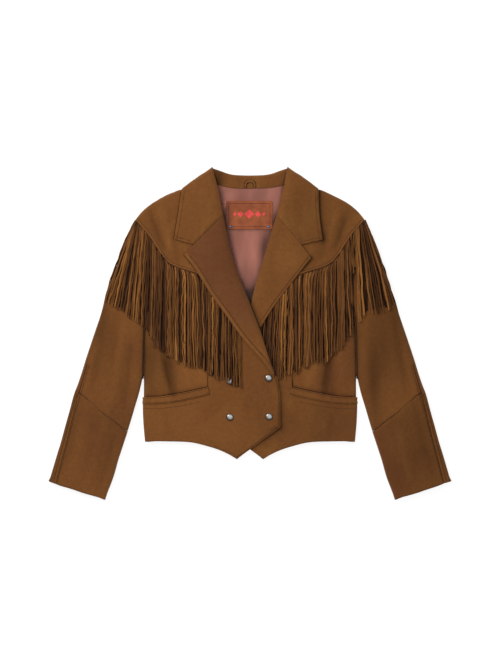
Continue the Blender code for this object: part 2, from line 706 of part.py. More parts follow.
def make_rivet(name, x, up):
    base = 2 * PLY + LINING_PLY + 3 * REST_GAP
    dome(name, x, up, base, RIVET_RADIUS, RIVET_HEIGHT, "metal", sides=8)


def make_loop(name):
    width, thickness = LOOP_CORD
    seam_up = STAND_SEAM[2][1] + 2.5
    outer, inner = [], []
    for step in range(13):
        turn = math.pi * step / 12
        across = np.array([-math.cos(turn), 0.8 * math.sin(turn)])
        centre = np.array([0.0, seam_up]) + across * [LOOP_HALF_WIDTH, LOOP_HEIGHT]
        out = unit(across + [0.0, 1e-3]) * width / 2
        share = (centre[1] - STAND_SEAM[2][1]) / (STAND_FOLD[3][1] - STAND_SEAM[2][1])
        z = stand_height(0, 0, 0.5 + centre[0] / 150, share) + REST_GAP + 0.25
        outer.append([[*(centre + out), z + thickness], [*(centre - out), z + thickness]])
        inner.append([[*(centre + out), z], [*(centre - out), z]])
    wall(name, outer, inner, "suede")


def snap_base(x, up):
    """The snaps go through the wearer's right front, and sit on its outer face."""
    height, near = front_height(RIGHT), (-SNAP_RADIUS, 0, SNAP_RADIUS)
    return max(height(-x + dx, up + dy) for dx in near for dy in near) + REST_GAP


def make_snap(name, x, up):
    dome(name, x, up, snap_base(x, up), SNAP_RADIUS, SNAP_HEIGHT, "metal", SNAP_COLLAR)


# ---- sleeves ----

def tube_halves(patch, height, counts, turns):
    top = lay(patch, height, counts, turns)
    bottom = lay(patch, level(0.0), counts, turns, -1)
    return top, bottom


def joined(first, second):
    """Two laid faces that share an edge, as one run of columns."""
    return tuple(np.concatenate([a, b], axis=1) for a, b in zip(first, second))


def flipped(laid, skip):
    return tuple(array[:, ::-1][:, skip:] for array in laid)


def share_of(patch, height, from_u, to_u):
    """The part of a patch between two shares of its width, which vary with v."""
    def at(u, v):
        return patch(from_u(v) + (to_u(v) - from_u(v)) * u, v)

    def tall(x, y, u, v):
        return height(x, y, from_u(v) + (to_u(v) - from_u(v)) * u, v)

    return at, tall


def make_upper_sleeve(side, name):
    armhole = moved(ARMHOLE, out=SEAM)
    outer = edge(([armhole[0], *SLEEVE_OUTER[1:-1], ELBOW[0]], 1))
    inner = edge(([armhole[-1], *SLEEVE_INNER[1:-1], ELBOW[-1]], 1))
    patch = coons(outer, inner, edge((armhole, 1)), edge((ELBOW, 1)))

    def height(out, up, u, v):
        swell = SLEEVE_CROWN * soft_step(v / 0.3) + (FOREARM_CROWN[0] - SLEEVE_CROWN) * soft_step(v)
        return LAID + (relief("sleeve", side, out, up) + swell) * math.sin(math.pi * u)

    turns = {"start": Turn(), "end": Turn()}
    top, bottom = tube_halves(patch, height, (5, 9), turns)
    points, normals = joined(top, flipped((bottom[0][:, 1:-1], bottom[1][:, 1:-1]), 0))
    wall(name, points, points - normals * PLY, "suede", side, ring=True)
    return top[0]


def make_forearm(side, name, strip_name):
    outer = edge((CUFF_OUTER, 1))
    inner = edge((CUFF_INNER, 1))
    elbow = [outer(0), *moved(ELBOW[1:-1], up=-2 * SEAM - 0.4), inner(0)]
    patch = coons(outer, inner, edge((elbow, 1)), edge((CUFF, 1)))

    def height(out, up, u, v):
        swell = FOREARM_CROWN[0] + (FOREARM_CROWN[1] - FOREARM_CROWN[0]) * v
        return LAID + (relief("sleeve", side, out, up) + swell) * math.sin(math.pi * u)

    def width(v):
        return np.linalg.norm(patch(1, v) - patch(0, v))

    def seam(gap):
        return lambda v: (BACK_SEAM[0] + (BACK_SEAM[1] - BACK_SEAM[0]) * v + gap) / width(v)

    def under_seam(gap):
        return lambda v: UNDER_SEAM_SHARE + gap / width(v)

    def outer_edge(v):
        return 0.0

    def inner_edge(v):
        return 1.0

    rows = 5
    face, tall = share_of(patch, height, outer_edge, seam(-SEAM))
    under, floor = share_of(patch, level(0.0), outer_edge, under_seam(-SEAM))
    top = lay(face, tall, (1, rows), {"start": Turn()})
    bottom = lay(under, floor, (2, rows), {"start": Turn()}, -1)
    points, normals = joined(flipped(top, 0), (bottom[0][:, 1:], bottom[1][:, 1:]))
    wall(strip_name, points, points - normals * PLY, "suede", side)

    face, tall = share_of(patch, height, seam(SEAM), inner_edge)
    under, floor = share_of(patch, level(0.0), under_seam(SEAM), inner_edge)
    top = lay(face, tall, (5, rows), {"end": Turn()})
    bottom = lay(under, floor, (3, rows), {"end": Turn()}, -1)
    points, normals = joined(top, flipped(bottom, 1))
    wall(name, points, points - normals * PLY, "suede", side)


# ---- fringe ----

class Ground:
    """Heights of the faces and snaps that the fringe lies on."""

    def __init__(self, grids, snaps):
        self.snaps = snaps
        corners = []
        for grid in grids:
            a, b, c, d = grid[:-1, :-1], grid[:-1, 1:], grid[1:, 1:], grid[1:, :-1]
            for trio in ((a, b, c), (a, c, d)):
                corners.append(np.stack([part.reshape(-1, 3) for part in trio], axis=1))
        self.a, self.b, self.c = np.moveaxis(np.concatenate(corners), 1, 0)

    def at(self, x, y):
        ab, ac = self.b - self.a, self.c - self.a
        px, py = x - self.a[:, 0], y - self.a[:, 1]
        area = ab[:, 0] * ac[:, 1] - ab[:, 1] * ac[:, 0]
        area = np.where(abs(area) < 1e-9, 1e-9, area)
        u = (px * ac[:, 1] - py * ac[:, 0]) / area
        v = (ab[:, 0] * py - ab[:, 1] * px) / area
        over = (u >= -1e-6) & (v >= -1e-6) & (u + v <= 1 + 1e-6)
        heights = (self.a[:, 2] + u * ab[:, 2] + v * ac[:, 2])[over].tolist()
        heights += [top for out, up, top in self.snaps if math.hypot(x - out, y - up) < SNAP_RADIUS + 2]
        return max(heights, default=0.0)


def fringe_rows(side):
    """Root and tip of the fringe at equal steps of a strand's pitch along the roots."""
    table = smooth(FRINGE)
    table = table[table[:, 0] >= FRINGE_INNER[side]]
    steps = np.linalg.norm(np.diff(table[:, :2], axis=0), axis=1)
    along = np.concatenate([[0.0], np.cumsum(steps)])
    count = int(along[-1] / STRAND_PITCH)

    def at(place):
        reach = place * along[-1] / count
        return np.array([np.interp(reach, along, column) for column in table.T])

    return at, count


def clear_of_edge(side, root, tip):
    """Shortens a strand that would run under the other front."""
    if side == RIGHT:
        return tip
    line = smooth(FRONT_EDGE)[::-1]
    for share in np.linspace(1.0, 0.0, 60):
        point = root + (tip - root) * share
        if point[0] + line_x(line, point[1]) > EDGE_CLEARANCE:
            return point
    return root


def line_x(line, up):
    """The other front's edge at this height, as a distance to its own side."""
    return float(np.interp(up, line[:, 1], line[:, 0], right=1000.0))


def strip_corners(at, ground, place):
    """The sewn strip's four corners at one place along the roots."""
    row = at(place)
    root = row[:2]
    way = unit(row[2:] - root)
    foot = root + way * STRIP_WIDTH
    under = max(ground.at(*(root + way * STRIP_WIDTH * share)) for share in STRIP_PROBES)
    z = (under or LAID) + STRIP_LIFT
    return [(*root, z + FRINGE_PLY), (*root, z), (*foot, z + FRINGE_PLY), (*foot, z)]


def strip_faces(count):
    """Faces of the strip, open where the strands grow out of it."""
    starts = [4 * station for station in range(2 * count)]
    faces = []
    for number, (a, b) in enumerate(zip(starts, starts[1:])):
        faces += [[a, b, b + 2, a + 2], [a + 1, b + 1, b + 3, a + 3], [a, b, b + 1, a + 1]]
        if number % 2:
            faces.append([a + 2, b + 2, b + 3, a + 3])
    for a in (starts[0], starts[-1]):
        faces.append([a, a + 1, a + 3, a + 2])
    return faces


def strand_rise(ground, last, centre, last_z, aside):
    """The lowest underside at the next place that keeps the stretch before it clear of the ground."""
    need = FOLD
    for step in range(1, STRAND_PROBES + 1):
        part = step / STRAND_PROBES
        middle = last + (centre - last) * part
        floor = max(ground.at(*(middle + aside * tilt)) for tilt in (-1, 0, 1))
        need = max(need, (floor + STRAND_LIFT - last_z * (1 - part)) / part)
    return need


def strand_sections(side, at, ground, strand, left, right):
    """Cross-sections of one strand, from below the strip to its tip."""
    left, right, underside = np.array(left[:2]), np.array(right[:2]), left[2] - FRINGE_PLY
    begin = (left + right) / 2
    row = at(strand + 0.5)
    uneven = unit(row[2:] - begin) * TIP_UNEVEN * math.sin(2.3 * strand)
    tip = clear_of_edge(side, begin, row[2:] + uneven)
    way = unit(tip - begin)
    across = np.array([-way[1], way[0]])
    across *= 1 if np.dot(across, right - left) > 0 else -1
    spread = np.linalg.norm(at(strand + 1)[2:] - at(strand)[2:])
    aside = across * min(spread, STRAND_WIDEST) * STRAND_SHARE / 2
    sway = across * STRAND_SWAY * math.sin(0.21 * strand)
    last, last_z, sections = begin, underside, []
    for share in CAP_STEPS if row[0] > CAP_OUT else STRAND_STEPS:
        centre = begin + (tip - begin) * share + sway * math.sin(math.pi * share)
        z = strand_rise(ground, last, centre, last_z, aside)
        over, under = z + FRINGE_PLY, z
        a, b = centre - aside, centre + aside
        sections.append([(*a, over), (*b, over), (*b, under), (*a, under)])
        last, last_z = centre, z
    return sections


def make_fringe(side, name, ground):
    at, count = fringe_rows(side)
    margin = (1 - STRAND_SHARE) / 2
    places = [strand + aside for strand in range(count) for aside in (margin, 1 - margin)]
    vertices = [corner for place in places for corner in strip_corners(at, ground, place)]
    faces = strip_faces(count)
    for strand in range(count):
        first = 8 * strand
        ring = [first + 2, first + 6, first + 7, first + 3]
        for section in strand_sections(side, at, ground, strand, vertices[ring[0]], vertices[ring[1]]):
            after = list(range(len(vertices), len(vertices) + 4))
            vertices += section
            faces += [[ring[c], ring[c - 3], after[c - 3], after[c]] for c in range(4)]
            ring = after
        faces.append(ring)
    add_object(name, vertices, faces, "fringe", side)


# ---- the jacket ----

def main():
    for item in list(bpy.data.objects):
        bpy.data.objects.remove(item, do_unlink=True)
    make_back("back")
    make_lining("neck_lining")
    make_stand("collar_stand")
    make_label("neck_label")
    for number, (x, up) in enumerate(RIVET_AT, 1):
        make_rivet(f"label_rivet_{number}", x, up)
    make_loop("hanger_loop")
    for side, word in ((RIGHT, "right"), (LEFT, "left")):
        faces = [
            make_yoke(side, f"yoke_{word}"),
            make_side_front(side, f"side_front_{word}"),
            make_front(side, f"front_{word}"),
            make_upper_sleeve(side, f"upper_sleeve_{word}"),
        ]
        make_forearm(side, f"forearm_{word}", f"forearm_back_{word}")
        make_welt(side, f"pocket_welt_{word}", faces[2])
        make_lapel(side, f"lapel_{word}")
        make_collar_fall(side, f"collar_{word}")
        snaps = [(-x, up, snap_base(x, up) + SNAP_HEIGHT) for _, x, up in SNAPS if side == RIGHT]
        make_fringe(side, f"fringe_{word}", Ground(faces, snaps))
    for name, x, up in SNAPS:
        make_snap(name, x, up)


main()
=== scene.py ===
"""The looks of the fringed suede jacket, laid flat and seen from above.

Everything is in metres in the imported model's frame: +X towards the wearer's left arm,
+Y towards the collar, +Z up off the table. Tables hold millimetres.
"""

import math

import bmesh
import bpy
import numpy as np
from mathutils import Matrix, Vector
from mathutils.bvhtree import BVHTree


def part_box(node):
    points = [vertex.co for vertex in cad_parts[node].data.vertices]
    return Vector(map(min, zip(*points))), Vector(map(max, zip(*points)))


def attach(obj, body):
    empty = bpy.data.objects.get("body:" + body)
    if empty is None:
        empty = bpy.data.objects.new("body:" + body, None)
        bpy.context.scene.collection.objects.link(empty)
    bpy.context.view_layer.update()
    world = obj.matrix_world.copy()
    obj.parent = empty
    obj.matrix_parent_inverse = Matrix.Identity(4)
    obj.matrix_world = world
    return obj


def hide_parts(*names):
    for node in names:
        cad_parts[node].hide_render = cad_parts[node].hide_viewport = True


MM = 0.001
PIXEL = 2.1 * MM  # one pixel of the frame at the height of the cloth
FRAME_PIXELS = (500, 667)
CAMERA_HEIGHT = 6.0
CLOTH_TOP = 12 * MM
SIDES = {"right": -1, "left": 1}  # the wearer's right arm points to -X

# ---- colours, linear ----

SUEDE = (0.182, 0.068, 0.0180)
SUEDE_GOLD = (0.212, 0.086, 0.0215)
SUEDE_EDGE = (0.200, 0.077, 0.0215)
SUEDE_LAPEL = (0.150, 0.054, 0.0195)
SUEDE_LOW = (0.168, 0.065, 0.0165)  # the lower end of the turned lapel
SUEDE_RED = (0.160, 0.053, 0.0180)
SUEDE_SHEEN = (0.95, 0.70, 0.45, 1.0)
GROOVE_AND_SHADOW_DARK = (0.036, 0.014, 0.007)  # dark of the seam grooves, and of painted shadow lines beside overlapping edges, in the armhole gaps, at the pocket mouths and round the hanger loop
# Satin in the painted shade of its ripples, and in their painted sheen.
SATIN_PAINTED_SHADE = (0.286, 0.103, 0.073)
SATIN_PAINTED_SHEEN = (0.405, 0.152, 0.109)
# near-black tone 0 of the strands, painted as the shadow in the slits between them
STRAND_PAINTED_SHADOW = (0.009, 0.004, 0.0025)
PATCH = (0.310, 0.082, 0.029)
CORAL = (0.780, 0.075, 0.070)
LABEL_THREAD = (0.075, 0.026, 0.030)
THREAD = (0.215, 0.094, 0.028)
SNAP_SILVER = (0.50, 0.50, 0.49)
RIVET_BLUE = (0.09, 0.22, 0.46)
PAINTED_HIGHLIGHT_PLACE = (0.56, 0.72, 1.0)  # the place of a dome's painted highlight, as shares of its box
WHITE = (1.0, 1.0, 1.0, 1.0)
FLOOR = (0.34, 0.34, 0.34, 1.0)

# ---- creases: x from, y from, x to, y to, half width, height, all in millimetres ----

CREASES = [
    (-183, -46, -159, -126, 9, -2.8), (-202, 238, -176, 172, 5, -1.1), (-153, 190, -147, 160, 4, -0.8),
    (201, 236, 180, 180, 5, -0.9), (168, -44, 157, -124, 8, -1.6),
    (-170, -52, -157, -126, 13, -2.4), (-186, -30, -190, -118, 20, 1.6), (-140, -60, -128, -112, 15, 0.9),
    (166, -58, 155, -124, 12, -2.2), (190, -40, 188, -120, 18, 1.5), (136, -66, 130, -112, 14, 0.8),
    (-206, 254, -182, 176, 11, -2.0), (-188, 262, -166, 180, 12, 1.3), (-160, 202, -148, 146, 8, -1.1),
    (203, 250, 180, 178, 11, -1.9), (186, 256, 164, 184, 12, 1.2), (160, 210, 150, 158, 9, -0.9),
    (-300, 60, -330, -105, 16, -1.7), (-262, 30, -284, -130, 15, 1.3), (-318, -20, -346, -120, 12, 1.1),
    (-246, -30, -262, -150, 10, -1.3), (-352, -150, -392, -290, 15, -1.6),
    (-306, -190, -340, -322, 13, 1.0), (-280, -205, -312, -320, 9, -0.9),
    (296, 66, 326, -100, 15, -1.8), (266, 36, 280, -140, 14, 1.2), (322, -30, 344, -118, 11, 1.0),
    (250, -40, 262, -160, 10, -1.2), (346, -160, 384, -300, 14, -1.5), (310, -200, 338, -316, 12, 1.1),
    (-60, -150, -120, -206, 16, -0.8), (60, -160, 116, -205, 16, -0.8), (-176, -160, -168, -214, 12, -0.9),
    (176, -158, 168, -212, 12, -0.8), (-20, -150, -30, -225, 14, 0.7),
]
SWELLS = [  # long soft unevenness: x wavelength, y wavelength, phase, height
    (190, 260, 0.4, 0.7), (120, 145, 2.1, 0.45), (75, 210, 4.0, 0.35), (230, 88, 1.2, 0.35),
]

# ---- the fringe, in millimetres: root out, root up, tip out, tip up on the right, tip up on the left ----

FRINGE = [
    (239.2, 237.4, 307.7, 66.0, 53.0), (238.0, 236.2, 290.0, 56.0, 49.0), (235.3, 233.5, 270.0, 48.0, 47.0),
    (231.0, 229.3, 252.0, 32.0, 43.0), (223.5, 221.0, 234.0, 25.0, 29.0), (208.0, 201.8, 214.5, 1.0, 3.0),
    (188.5, 171.5, 191.5, -30.0, -32.0), (169.5, 149.3, 171.0, -49.0, -47.0),
    (151.0, 137.6, 151.5, -60.0, -62.0), (130.2, 131.3, 129.0, -69.0, -66.0),
    (105.0, 122.9, 104.5, -77.0, -77.0), (73.5, 112.4, 73.5, -92.0, -93.0),
    (42.0, 99.8, 42.0, -104.0, -105.0), (17.0, 90.0, 17.0, -116.6, -116.0),
]
FRINGE_SEEDS = {"right": 41, "left": 87}
STRAND_PLY = 1.1
STRAND_STEPS = 26
# Layers of strands, lowest first: pitch, height, most twist, widths, tones, share that is there.
# The lowest layer's near-black tones paint the shadow in the slits between the strands over it.
STRAND_LAYERS = [
    (3.9, 0.25, 0.25, (3.6, 5.0), (0.0, 0.06), 1.0), (4.0, 1.35, 1.1, (2.3, 4.1), (0.20, 0.68), 0.95),
    (4.3, 2.3, 1.2, (2.2, 3.9), (0.48, 1.0), 0.44),
]
STRAND_SHINE = 0.22  # the strands beside the left lapel catch more light
LEAN = 13.0  # how far its inner strands lean under the front
SHORT_STRANDS = [("left", 217.5, 231.0, 0.40)]  # side, tips from, to, part of their length
CAP_BOW = {"right": 4.8, "left": 3.9}  # the outermost strands bow out over the shoulder by this much
CAP_REACH = 34.0  # as far as this along the seam
# Bands of strands that hang lighter or darker: distance out, half width, how much.
STRAND_ZONES = {
    "right": [
        (262, 36, 0.60), (200, 18, -0.42), (176, 8, -0.60), (155, 11, 0.95), (138, 5, 0.10),
        (126, 12, 0.65), (112, 12, 0.15), (82, 14, -0.10), (52, 12, 0.60), (27, 8, -0.30),
    ],
    "left": [
        (28, 13, -0.30), (44, 8, 0.20), (57, 6, -0.40), (74, 8, 0.35), (108, 10, 0.75),
        (124, 5, -0.30), (134, 8, 0.80), (152, 9, 0.75), (166, 9, -0.95), (186, 10, 0.85),
        (200, 6, -0.20), (218, 10, 0.90), (234, 12, 0.50), (256, 14, 0.12), (288, 10, -0.35),
    ],
}
CLUMPS = [(0.28, 8.3, 1.0), (0.20, 3.1, 2.0)]  # waves of density and tone: height, length, turn by layer
TIP_SCATTER = (1.6, 2.4)  # how far the tips stray to the side and along
TIP_MOST = 1.4  # and the most, as a multiple of that
TIP_WAVES = [(2.6, 11.0), (2.2, 4.7)]  # and their slower unevenness: height, length
BOW = 1.5  # strands bow to one side,
RIPPLE = 1.0  # with ripples on it
RIPPLE_TURNS = (2.2, 5.4)  # of so many half waves,
TREMBLE = 0.45  # and finer ones
HOOK = (0.6, 1.1)  # the hook at the seam: its mean and its scatter,
HOOK_INSIDE = (1.5, 4.5)  # and what the inner strands add to it, from, to
HOOK_REACH = 8.0  # the length of the hook
CURL = 1.3  # its lower end curls to one side by about this much,
CURL_FROM = 0.72  # from this share of its length on
CAP_SHADE = 0.55  # strands are darker where they leave the seam over the shoulder
ROOT_BAND = 4.5  # uncut part of the fringe below the seam
ROOT_BAND_SHARES = (-0.30, 0.0, 0.5, 1.0)  # where it is read, as shares of that
ROOT_BAND_TONES = {"top": 0.36, "under": 0.2}
BRIDGE_SLOPE = 0.3  # how steeply a strand follows the ground
ROLL_SHADE = 0.85  # strands are darker beside the right lapel's roll
TONE_SCATTER = 0.30
ROOT_LIFT = 0.25  # height of a strand over the ground where it leaves the seam
LEAST_ROOM = 1.9  # a strand needs this much height under a lapel or front,
LEAST_STEPS = 3  # and this many places that show
NO_COVER = 99.0
LAPEL_PLY = 2.0
FRONT_PLY = 1.9
TRIM_EDGE = 7.0  # strands end this far under the other front

# ---- the nap's brushing and painted shade: for pieces whose name starts so, how much lighter or darker than the rest ----
# Most patches paint light and shade: folds, sides turned towards the light and away from it, and shadow
# beside overlapping pieces; some are the nap's own tone.
# Columns: x, y, half width, half height, amount.

NAP_AND_PAINTED_SHADE = {
    "": [
        (-112, 150, 60, 70, 0.03), (-66, 165, 46, 60, -0.03), (-205, -190, 34, 50, 0.05),
        (-270, -190, 50, 50, -0.10), (150, 165, 46, 44, -0.12), (62, -170, 20, 70, -0.02),
        (395, -240, 30, 90, -0.05),
    ],
    "yoke": [(-188, 225, 40, 40, -0.03), (188, 225, 40, 46, -0.16), (120, 160, 60, 40, 0.02)],
    "side_front": [
        (-200, -62, 34, 66, -0.42), (-160, -84, 16, 60, -0.10), (-112, -92, 48, 40, 0.20),
        (165, -90, 19, 66, -0.30), (205, -60, 24, 70, -0.05), (112, -92, 38, 34, 0.14),
        (-176, -62, 9, 24, -0.10), (-167, -102, 9, 28, -0.10),
    ],
    "front": [(-20, -180, 60, 60, -0.05), (-95, -190, 70, 50, 0.12), (150, -190, 90, 60, -0.16)],
    "upper_sleeve": [
        (-300, 0, 70, 120, -0.14), (-246, -20, 26, 90, 0.12), (266, -70, 18, 130, -0.28),
        (-284, -24, 40, 70, -0.18), (300, 30, 90, 130, -0.24), (280, -60, 60, 80, -0.10),
    ],
    "forearm": [
        (-330, -190, 70, 80, -0.12), (-372, -250, 34, 90, 0.04), (-318, -300, 50, 50, -0.10),
        (330, -170, 90, 90, -0.22), (350, -290, 80, 80, -0.22),
    ],
    "collar": [(120, 250, 60, 70, -0.17)],
    "lapel_right": [(-60, 150, 46, 60, -0.06), (34, -44, 30, 50, 0.26)],
    "collar_stand": [(-64, 326, 11, 30, -0.42), (-24, 318, 7, 14, -0.12), (22, 320, 10, 14, 0.08)],
    "neck_lining": [
        (-52.4, 246, 3.0, 26, -0.40), (49.5, 246, 2.5, 26, -0.35), (-6, 218, 46, 3.0, -0.40),
        (0, 60, 30, 46, -0.26), (1, 66, 11, 19, -0.80), (0, 290, 80, 30, -0.05), (32, 178, 7, 28, -0.55),
        (-62, 290, 12, 26, -0.30), (16, 150, 14, 70, 0.24), (-26, 170, 10, 46, 0.14),
        (-14, 140, 9, 50, 0.06), (-40, 302, 40, 8, -0.12), (0, 270, 80, 30, -0.10),
    ],
    "neck_label": [(-52, 238, 12, 60, -0.58), (0, 207, 60, 7, -0.14)],
    "front_left": [(80, -160, 12, 50, 0.08)],
}
CREASE_LIGHT_AND_SHADE = 0.085  # painted shade in the creases and painted light on their ridges, for each millimetre of depth or height

# Edges that run a little further out than the softened solids, in the order in which they are pulled.
# Pieces whose name starts so, then rows of x, y, reach, x pull, y pull; both sides are pulled alike.
PULLS = [
    (("front", "back"), [(214, -227, 20, 0.0, -1.2), (165, -228, 52, 0.0, -1.6)]),
    (("front",), [(95, -238, 40, 0.0, -1.2), (-28, -263, 16, 0.0, -0.8)]),
    (("front_right",), [(65, -98, 10, -5.5, -1.0), (-56, -96, 18, -3.2, 1.5)]),
    (("lapel_right",), [(-54, -88, 14, 2.6, 1.0)]),
    (("collar_right",), [(79, 347, 22, 0.0, 2.2), (126, 318, 18, 0.5, 1.0), (106, 332, 30, 0.8, 1.6)]),
    (("collar_left",), [(79, 347, 22, 0.0, 2.2), (126, 318, 18, 0.5, 1.2), (106, 332, 30, 1.2, 1.8)]),
    (("collar_stand", "back"), [(0, 332, 62, 0.0, 0.7)]),
    (("collar_stand",), [(76, 328, 20, 7.0, 0.0)]),
    (("pocket_welt",), [(227, -139, 14, -1.8, 0.0)]),
    (("upper_sleeve",), [(278, 150, 62, -4.4, 0.0)]),
    (("forearm",), [(419, -311, 13, 2.6, -1.0), (304, -347, 16, 0.0, -1.2), (362, -329, 56, 0.0, -1.6),
                    (328, -146, 30, 0.0, 1.3)]),
    (("forearm", "upper_sleeve"), [(312, -160, 44, 0.0, -4.0)]),
    (("forearm",), [(292, -300, 46, -1.8, 0.0), (398, -226, 80, -1.0, 0.0), (350, -336, 54, 0.0, -1.4),
                    (367, -124, 14, -1.4, 0.0), (374, -164, 40, -1.0, 0.0)]),
    (("upper_sleeve",), [(348, -90, 40, -0.8, 0.0)]),
    (("yoke", "back", "upper_sleeve"), [(242, 241, 22, -1.6, -1.2)]),
    (("yoke", "back"), [(172, 290, 56, -0.8, -1.6)]),
    (("forearm", "upper_sleeve"), [(357, -127, 22, 0.0, 3.0), (334, -142, 20, 0.0, -1.8)]),
    (("upper_sleeve_left",), [(293, 96, 40, -2.2, 0.0), (284, 130, 56, -2.4, 0.0)]),
    (("upper_sleeve_right",), [(276, 120, 40, 1.6, 0.0)]),
    (("forearm",), [(398, -322, 38, 0.0, -2.4)]),
    (("forearm_right", "forearm_back_right"), [(404, -318, 26, 0.0, -1.4)]),
    (("forearm_back",), [(382, -321, 12, -1.4, 0.0)]),
]


def mesh_object(name, vertices, faces, smooth=True):
    mesh = bpy.data.meshes.new(name)
    mesh.from_pydata([tuple(v) for v in vertices], [], faces)
    mesh.update()
    item = bpy.data.objects.new(name, mesh)
    bpy.context.scene.collection.objects.link(item)
    if smooth:
        mesh.shade_smooth()
    return item


def ring_faces(base, sections, sides):
    """The faces between the rings of corners of a swept form."""
    faces = []
    for start in range(base, base + sides * (sections - 1), sides):
        for corner in range(sides):
            a, b = start + corner, start + (corner + 1) % sides
            faces.append((a, b, b + sides, a + sides))
    return faces


def swept_faces(base, sections, sides):
    """The same, with both ends closed."""
    last = base + sides * (sections - 1)
    ends = [tuple(reversed(range(base, base + sides))), tuple(range(last, last + sides))]
    return ring_faces(base, sections, sides) + ends


# ---- seams and edges, as they are cut in the solids: out, up ----

CENTRE_UP = -1.05
ROLL = {
    "right": [(56.0, 247.0), (50.4, 220.5), (42.0, 180.6), (35.7, 159.6), (25.2, 126.0), (16.8, 102.9),
              (0.0, 63.0), (-21.0, 8.4), (-31.5, -25.2), (-42.0, -56.7), (-54.4, -92.0)],
    "left": [(56.0, 247.0), (46.2, 216.3), (37.8, 189.0), (29.4, 159.6), (21.0, 132.3), (12.0, 102.0),
             (1.0, 64.0), (20.4, 12.0)],
}
NECK_EDGE = {
    "right": [(78.7, 346.5), (73.5, 327.6), (68.3, 308.7), (63.0, 285.6), (56.0, 247.0)],
    "left": [(78.7, 346.5), (74.6, 327.6), (71.4, 308.7), (65.5, 285.6), (56.0, 247.0)],
}
COLLAR_EDGE = {
    "right": [(138.0, 306.6), (143.9, 298.2), (147.0, 273.0), (153.3, 233.1), (159.6, 196.4)],
    "left": [(139.7, 305.6), (143.9, 298.2), (144.2, 268.8), (147.0, 233.1), (152.3, 195.3)],
}
NOTCH = {"right": (117.6, 184.8), "left": (107.1, 184.8)}
LAPEL_EDGE = {
    "right": [(138.6, 163.8), (115.5, 134.4), (84.0, 84.0), (63.0, 54.6), (42.0, 25.2), (21.0, -4.2),
              (0.0, -29.4), (-21.0, -52.5), (-42.0, -79.8), (-51.2, -93.6)],
    "left": [(128.1, 157.5), (105.0, 128.1), (84.0, 100.8), (63.0, 73.5), (42.0, 44.1), (22.8, 12.6)],
}
YOKE_SEAM = [
    (238.6, 237.0), (228.9, 227.0), (210.0, 203.7), (197.4, 184.8), (182.7, 161.7), (168.0, 147.0),
    (151.2, 138.6), (130.2, 132.3), (105.0, 123.9), (88.0, 118.3), (73.5, 113.4), (42.0, 100.8),
]
FRONT_EDGE = [(-53.5, -89.0), (-60.9, -109.2), (-63.8, -140.0), (-64.1, -194.0)]
FRONT_POINT = [(-61.0, -199.5), (27.3, -263.6)]
WELT_TOP = [(87.6, -113.4), (126.0, -121.8), (157.5, -128.1), (189.0, -133.4), (220.0, -134.4)]
WELT_FOOT = [(84.0, -128.1), (105.0, -133.4), (147.0, -142.8), (189.0, -148.0), (220.0, -148.0)]
ELBOW = [(366.4, -123.5), (336.0, -140.7), (294.0, -175.4), (268.8, -198.5), (256.2, -205.4)]
BACK_SEAM = [(357.0, -128.0), (369.0, -168.0), (379.0, -208.0), (391.0, -252.0), (406.0, -311.0)]
ARMHOLE = [(239.6, 237.0), (229.0, 190.0), (219.5, 130.0), (212.0, 69.0), (219.6, 35.0), (222.4, 0.0),
           (223.4, -50.0), (224.6, -100.0)]
SLEEVE_SEAM = [(341.0, -66.0), (349.0, -94.0), (357.5, -124.0)]
SLEEVE_OUTER = [
    (300.5, 86.0), (311.0, 44.0), (330.8, -14.7), (344.6, -56.7), (358.5, -98.7), (367.7, -124.6),
    (380.1, -165.9), (391.4, -207.9), (403.6, -249.9), (420.2, -308.7),
]
# Where the edge of one piece lies over another, the lower one is painted with its shadow; the armholes and
# the sleeves' outer edges, where they round away, are painted with shade, and the seams are painted darker
# too.
# Columns: piece, line, its side or 0 for both, width, amount.
PAINTED_EDGE_SHADE = [
    ("side_front", WELT_TOP, 0, 4.0, -0.50), ("front_left", FRONT_EDGE, -1, 7.0, -0.48),
    ("front_left", FRONT_POINT, -1, 6.0, -0.55), ("yoke_right", COLLAR_EDGE["right"], -1, 1.8, -0.16),
    ("yoke_left", COLLAR_EDGE["left"], 1, 6.5, -0.72), ("yoke_right", LAPEL_EDGE["right"], -1, 2.0, -0.25),
    ("yoke_left", LAPEL_EDGE["left"], 1, 6.0, -0.62), ("lapel_left", ROLL["right"], -1, 5.5, -0.85),
    ("side_front", ARMHOLE, 0, 3.8, -1.0), ("upper_sleeve", ARMHOLE, 0, 4.2, -0.60),
    ("neck_lining", ROLL["right"], -1, 9.0, -0.55), ("neck_lining", ROLL["left"], 1, 9.0, -0.70),
    ("collar_stand", NECK_EDGE["right"], -1, 7.0, -0.50),
    ("collar_stand", NECK_EDGE["left"], 1, 3.5, -0.55), ("lapel_right", ROLL["right"], -1, 7.0, -0.12),
    ("forearm_right", BACK_SEAM, -1, 3.0, -0.35), ("forearm_left", BACK_SEAM, 1, 3.0, -0.35),
    ("upper_sleeve", SLEEVE_SEAM, 0, 3.0, -0.20), ("forearm_back_right", SLEEVE_OUTER, -1, 6.0, -0.50),
    ("forearm_back_left", SLEEVE_OUTER, 1, 4.0, -0.22),
    ("upper_sleeve_right", SLEEVE_OUTER, -1, 5.0, -0.22),
    ("upper_sleeve_left", SLEEVE_OUTER, 1, 4.0, -0.16),
]


def placed(points, side):
    """Places from the tables above, in the frame's own x and y."""
    return [(side * out, up - CENTRE_UP) for out, up in points]


# ---- heights ----

def fade(share):
    share = np.clip(share, 0.0, 1.0)
    return share * share * (3 - 2 * share)


